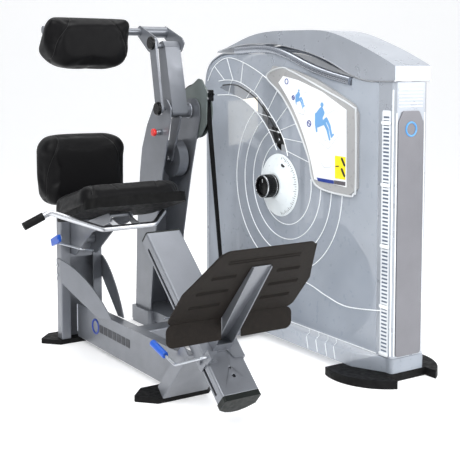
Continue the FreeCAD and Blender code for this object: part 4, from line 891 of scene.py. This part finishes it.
def placard_prints():
    """Generic how-to-use art: two seated figures, faint machine sketches, a yellow box and two strips."""
    face = (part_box("placard_card")[0].x - TOWER.x) / MM - 0.1
    figures = Print(face)
    seated_figure(figures, -110, 1150, 0.52)
    seated_figure(figures, -278, 1046, 0.98)
    figures.become("card_figures", EXTRA["figure"])
    marks = Print(face)
    for y, z, radius in ((-190, 1052, 13), (-70, 1166, 9)):
        marks.ring(y, z, radius, 0.0026)
        marks.stroke([(y + 5, z + 4), (y - 5, z - 4)], [2.5, 2.5])
    marks.ring(-17, 1240, 12, 0.0022)
    marks.patch([(-248, 812), (-370, 811), (-370, 795), (-259, 797)])
    marks.become("card_roundels", EXTRA["line_blue"])
    sketch = Print(face)
    for pairs in ([(-268, 1010), (-262, 975), (-330, 945), (-372, 985), (-402, 1010)],
                  [(-290, 1000), (-300, 985), (-345, 975)], [(-320, 1100), (-365, 1118), (-410, 1112)],
                  [(-95, 1120), (-112, 1096), (-150, 1090), (-160, 1118)], [(-150, 1190), (-185, 1196)],
                  [(-282, 880), (-300, 862), (-345, 866), (-352, 884)]):
        sketch.stroke(pairs, [1.6] * len(pairs))
    sketch.become("card_sketches", EXTRA["sketch"])
    box = Print(face)
    box.patch([(-376, 921), (-449, 920), (-449, 821), (-377, 821)])
    box.become("card_yellow_box", EXTRA["yellow"])
    top = Print(face - 0.5)
    for z in (898, 852):
        top.stroke([(-424, z + 12), (-442, z - 14)], [6, 6])
    top.stroke([(-384, 874), (-402, 876)], [2.5, 2.5])
    top.become("card_handles", EXTRA["ink"])
    strip = Print(face)
    strip.patch([(-372, 812), (-449, 812), (-449, 794), (-371, 795)])
    strip.become("card_strip", EXTRA["umber"])


def dial_details():
    """Scale ticks on the cone, and its small dark window."""
    low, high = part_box("dial_disc")
    middle = (low + high) / 2
    edge, neck, rise = 0.150, 0.062, 0.038
    lean = (edge - neck) / rise
    cone_foot = high.x - 0.030

    def on_cone(radius, out, proud=0.0):
        return Vector((cone_foot - (edge - radius) / lean - proud, middle.y, middle.z)) + out * radius

    ticks = Shape()
    for i in range(34):
        angle = math.radians(-78 + 156 * i / 33)
        out = Vector((0, -math.cos(angle), math.sin(angle)))
        long = 0.014 if i % 3 == 0 else 0.008
        rim = edge - 0.008
        ticks.tube([on_cone(radius, out, 0.0004) for radius in (rim, rim - long)], 0.0011, 5)
    ticks.become("dial_ticks", "root", "black_plastic", EXTRA["ink"])
    mark = Shape()
    angle = math.radians(62)
    out = Vector((0, -math.cos(angle), math.sin(angle)))
    across = Vector((0, math.sin(angle), math.cos(angle)))
    slope = (out * lean + LEFT).normalized()
    centre = on_cone(0.112, out)
    down = slope.cross(across).normalized()
    oval = [centre + across * (0.013 * math.cos(t)) + down * (0.009 * math.sin(t))
            for t in (2 * math.pi * i / 24 for i in range(24))]
    mark.slab([p - slope * 0.001 for p in oval], slope * 0.003, 0.001)
    mark.become("dial_window", "root", "black_plastic", EXTRA["gap"])


def knob_details():
    """The knob's bright rims, its grips, its plain face and one pointer line."""
    low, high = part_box("dial_disc")
    middle = (low + high) / 2
    rim = Shape()
    front = Vector((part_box("dial_knob")[0].x, middle.y, middle.z))
    rim.tube(circle(front + RIGHT * 0.002, 0.0525, BACK, UP, 56), 0.0030, 8, closed=True)
    rim.tube(circle(front + RIGHT * 0.0515, 0.0535, BACK, UP, 56), 0.0018, 8, closed=True)
    rim.become("knob_rims", "dial", "steel_bright")
    grips = Shape()
    for i in range(36):
        angle = 2 * math.pi * i / 36
        out = Vector((0, math.cos(angle), math.sin(angle))) * 0.0540
        grips.tube([front + RIGHT * 0.008 + out, front + RIGHT * 0.044 + out], 0.0012, 6)
    grips.become("knob_grips", "dial", "black_plastic")
    face = Shape()
    face.turned(front + RIGHT * 0.0070, LEFT,
                ((0, 0), (0.040, 0), (0.0395, 0.002), (0.030, 0.0035), (0, 0.004)), 48)
    face.become("knob_face", "dial", "black_plastic")
    pointer = Shape()
    pointer.tube([front + RIGHT * 0.0030 + UP * 0.018, front + RIGHT * 0.0030 + UP * 0.034], 0.0014, 6)
    pointer.become("knob_mark", "dial", "steel_bright", EXTRA["sketch"])


# ---------- station ----------

RAIL_SLOPE = math.radians(41.5)
RAIL_X, RAIL_Y, RAIL_Z = -908, -838, 143


def on_rail(across, along, over):
    """A point in the sloping rail's own directions, from the rail's lower end."""
    y = RAIL_Y + along * math.cos(RAIL_SLOPE) - over * math.sin(RAIL_SLOPE)
    z = RAIL_Z + along * math.sin(RAIL_SLOPE) + over * math.cos(RAIL_SLOPE)
    return at(RAIL_X + across, y, z)


def tread_details():
    """Rows of punched teeth on the foot plate and the rolled hem round its edge."""
    teeth = Shape()
    along = 227
    half = 3.6
    rows = [(-215, -85, 240), (85, 215, 240), (-215, -85, 320), (85, 215, 320), (-185, -85, 400),
            (85, 185, 400), (-150, 150, 480)]
    for start, end, over in rows:
        count = int((end - start) / 10)
        for i in range(count):
            x = start + (i + 0.5) * (end - start) / count
            for level, point in ((over + 8.5, 1), (over - 1.5, -1)):
                far = level + 3.5 * point
                foot = [on_rail(x - half, along, level), on_rail(x + half, along, level),
                        on_rail(x + half, along, far), on_rail(x - half, along, far)]
                tip = on_rail(x, along - 4.5, level + point)
                order = ((0, 3, 2, 1), (0, 1, 4), (1, 2, 4), (2, 3, 4), (3, 0, 4))
                teeth.add(foot + [tip], order if point > 0 else [tuple(reversed(f)) for f in order])
    teeth.become("plate_teeth", "foot", "tread_black")
    edge = Shape()
    corners = [(-262, 178), (-266, 330), (-196, 528), (-160, 543), (160, 543), (196, 528), (266, 330),
               (262, 178)]
    edge.tube([on_rail(x, along + 2.5, over) for x, over in corners], 0.0030, 8)
    edge.become("plate_hem", "foot", "tread_black")


def beam_marks():
    """A plain blue ring and plain bars on the main beam's outer side."""
    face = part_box("main_beam")[0].x - 0.0004
    mark_z = 0.120
    roundel = Shape()
    centre = Vector((face, TOWER.y + 0.330, mark_z))
    roundel.tube(circle(centre, 0.032, FORWARD, UP, 40), 0.0045, 8, closed=True)
    roundel.become("beam_roundel", "root", "blue_plastic", EXTRA["line_blue"])
    bars = Shape()
    half, pitch = 0.018, 0.044
    for i in range(7):
        start = Vector((face, TOWER.y + 0.270 - pitch * i + half, mark_z))
        end = start + FORWARD * (2 * half)
        bars.slab([start + UP * half, start - UP * half, end - UP * half, end + UP * half], LEFT * 0.0008)
    bars.become("beam_bars", "root", "black_plastic", EXTRA["ink"])


def weld_beads():
    """Rippled beads where plates and tubes meet, on the bodies that carry them."""
    def bead(shape, start, end, size=0.0032):
        length = (end - start).length
        steps = max(4, int(length / 0.004))
        path = [start.lerp(end, i / steps) for i in range(steps + 1)]
        shape.tube(path, [size * (1.0 + 0.18 * (i % 2)) for i in range(steps + 1)], 7)

    frame_beads = Shape()
    post_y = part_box("seat_post")[0].y
    beam_low, beam_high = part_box("main_beam")
    for x in (beam_low.x, beam_high.x):
        bead(frame_beads, Vector((x, post_y, 0.052)), Vector((x, post_y, beam_high.z - 0.01)))
    foot_low, foot_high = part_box("upright_foot")
    shell_low, shell_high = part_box("upright_shell")
    joint_y = foot_low.y + 0.17
    bead(frame_beads, Vector((shell_low.x + 0.010, joint_y, foot_high.z)),
         Vector((shell_high.x - 0.010, joint_y, foot_high.z)))
    frame_beads.become("frame_welds", "root", "frame_silver", EXTRA["weld"])

    arm_beads = Shape()
    middle = box_middle("pivot_shaft")[0]
    arm_low, arm_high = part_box("movement_arm")
    for x in (arm_low.x + 0.032, arm_high.x - 0.006):
        ring = circle(Vector((x, middle.y, middle.z)), 0.036, BACK, UP, 40)
        arm_beads.tube(ring, 0.0025, 7, closed=True)
    arm_beads.become("arm_welds", "arm", "frame_silver", EXTRA["weld"])


def belt_clamp_screws():
    """Two bright dome screws on the clamp that holds the belt's end."""
    low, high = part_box("belt_clamp")
    middle = (low + high) / 2
    screws = Shape()
    for z in (middle.z + 0.018, middle.z - 0.014):
        screws.turned(Vector((low.x + 0.0005, middle.y, z)), LEFT,
                      ((0, 0), (0.0082, 0), (0.0080, 0.0028), (0.0050, 0.0050), (0, 0.0054)), 24)
    screws.become("clamp_screws", "arm", "steel_bright")


def counterweight_bolt():
    """The bright bolt that holds the round weight to its bar."""
    low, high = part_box("counterweight")
    bolt = Shape()
    disc_radius = 0.092
    start = Vector((low.x + 0.004, high.y - disc_radius, low.z + disc_radius))
    bolt.turned(start, LEFT, ((0, 0), (0.0125, 0), (0.0125, 0.0030), (0.0105, 0.0042), (0.0100, 0.0080),
                              (0, 0.0086)), 28)
    bolt.become("weight_bolt", "arm", "steel_bright")


def red_knob_barrel():
    """The bright barrel that the red start pin slides in."""
    low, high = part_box("start_pin")
    middle = (low + high) / 2
    barrel = Shape()
    start = Vector((high.x - 0.014, middle.y, middle.z))
    barrel.turned(start, LEFT,
                  ((0.0065, 0), (0.0155, 0), (0.016, 0.002), (0.015, 0.020), (0.0065, 0.022)), 32)
    barrel.become("pin_barrel", "root", "steel_bright")


# ---------- stage ----------

CAMERA_PLACE = (-2784.5, -3652.6, 1310.0)
CAMERA_TURN = math.radians(-33)
CAMERA_DIP = math.radians(4.6)


def sweep_floor():
    """A pale floor that curves up far behind the object."""
    ahead = Vector((-math.sin(CAMERA_TURN), math.cos(CAMERA_TURN), 0))
    side = Vector((ahead.y, -ahead.x, 0))
    bend = [math.radians(a) for a in range(10, 91, 10)]
    profile = [(-9, 0), (7, 0)] + [(7 + 4 * math.sin(a), 4 - 4 * math.cos(a)) for a in bend]
    profile.append((11, 14))
    points = []
    for share in (-1, 1):
        points += [ahead * far + side * (14 * share) + UP * high for far, high in profile]
    count = len(profile)
    mesh = bpy.data.meshes.new("floor")
    mesh.from_pydata(points, [], [(i, i + count, i + count + 1, i + 1) for i in range(count - 1)])
    mesh.polygons.foreach_set("use_smooth", [True] * len(mesh.polygons))
    pale = moulded("studio_floor", (0.92, 0.92, 0.92), rough=0.6, contrast=0.008)
    pale.node_tree.nodes["Principled BSDF"].inputs["Emission Color"].default_value = (1, 1, 1, 1)
    pale.node_tree.nodes["Principled BSDF"].inputs["Emission Strength"].default_value = 0.22
    mesh.materials.append(pale)
    floor = bpy.data.objects.new("floor", mesh)
    bpy.context.scene.collection.objects.link(floor)


def area_light(name, place, target, size, power):
    light = bpy.data.lights.new(name, "AREA")
    light.shape = "RECTANGLE"
    light.size, light.size_y = size
    light.energy = power
    lamp = bpy.data.objects.new(name, light)
    lamp.location = place
    lamp.rotation_euler = (target - place).to_track_quat("-Z", "Y").to_euler()
    bpy.context.scene.collection.objects.link(lamp)


def studio():
    scene = bpy.context.scene
    middle = at(-500, 0, 700)
    area_light("key", middle + Vector((-3.2, -2.6, 3.0)), middle, (2.6, 2.6), 190)
    area_light("fill", middle + Vector((2.6, -3.6, 1.6)), middle, (3.0, 2.4), 120)
    area_light("top", middle + Vector((0.2, 0.4, 4.2)), middle, (4.0, 4.0), 150)
    world = bpy.data.worlds.new("studio")
    world.use_nodes = True
    world.node_tree.nodes["Background"].inputs["Color"].default_value = (0.95, 0.97, 1.0, 1)
    world.node_tree.nodes["Background"].inputs["Strength"].default_value = 0.62
    scene.world = world
    scene.view_settings.view_transform = "Standard"
    lens = bpy.data.cameras.new("camera")
    lens.lens = 75.52
    lens.sensor_width = 36
    lens.shift_y = -0.187
    camera = bpy.data.objects.new("camera", lens)
    camera.location = at(*CAMERA_PLACE)
    camera.rotation_euler = (math.pi / 2 - CAMERA_DIP, 0, CAMERA_TURN)
    scene.collection.objects.link(camera)
    scene.camera = camera


# ---------- the scene ----------

dress_frame()
for make in (upper_cushion, lumbar_cushion, seat_cushion, shroud_ribs, window_edge, inner_panels, base_ribs,
             vent_tabs, column_details, cap_details, placard_rim, placard_prints, dial_details, knob_details,
             tread_details, beam_marks, weld_beads, belt_clamp_screws, counterweight_bolt, red_knob_barrel,
             sweep_floor, studio):
    make()
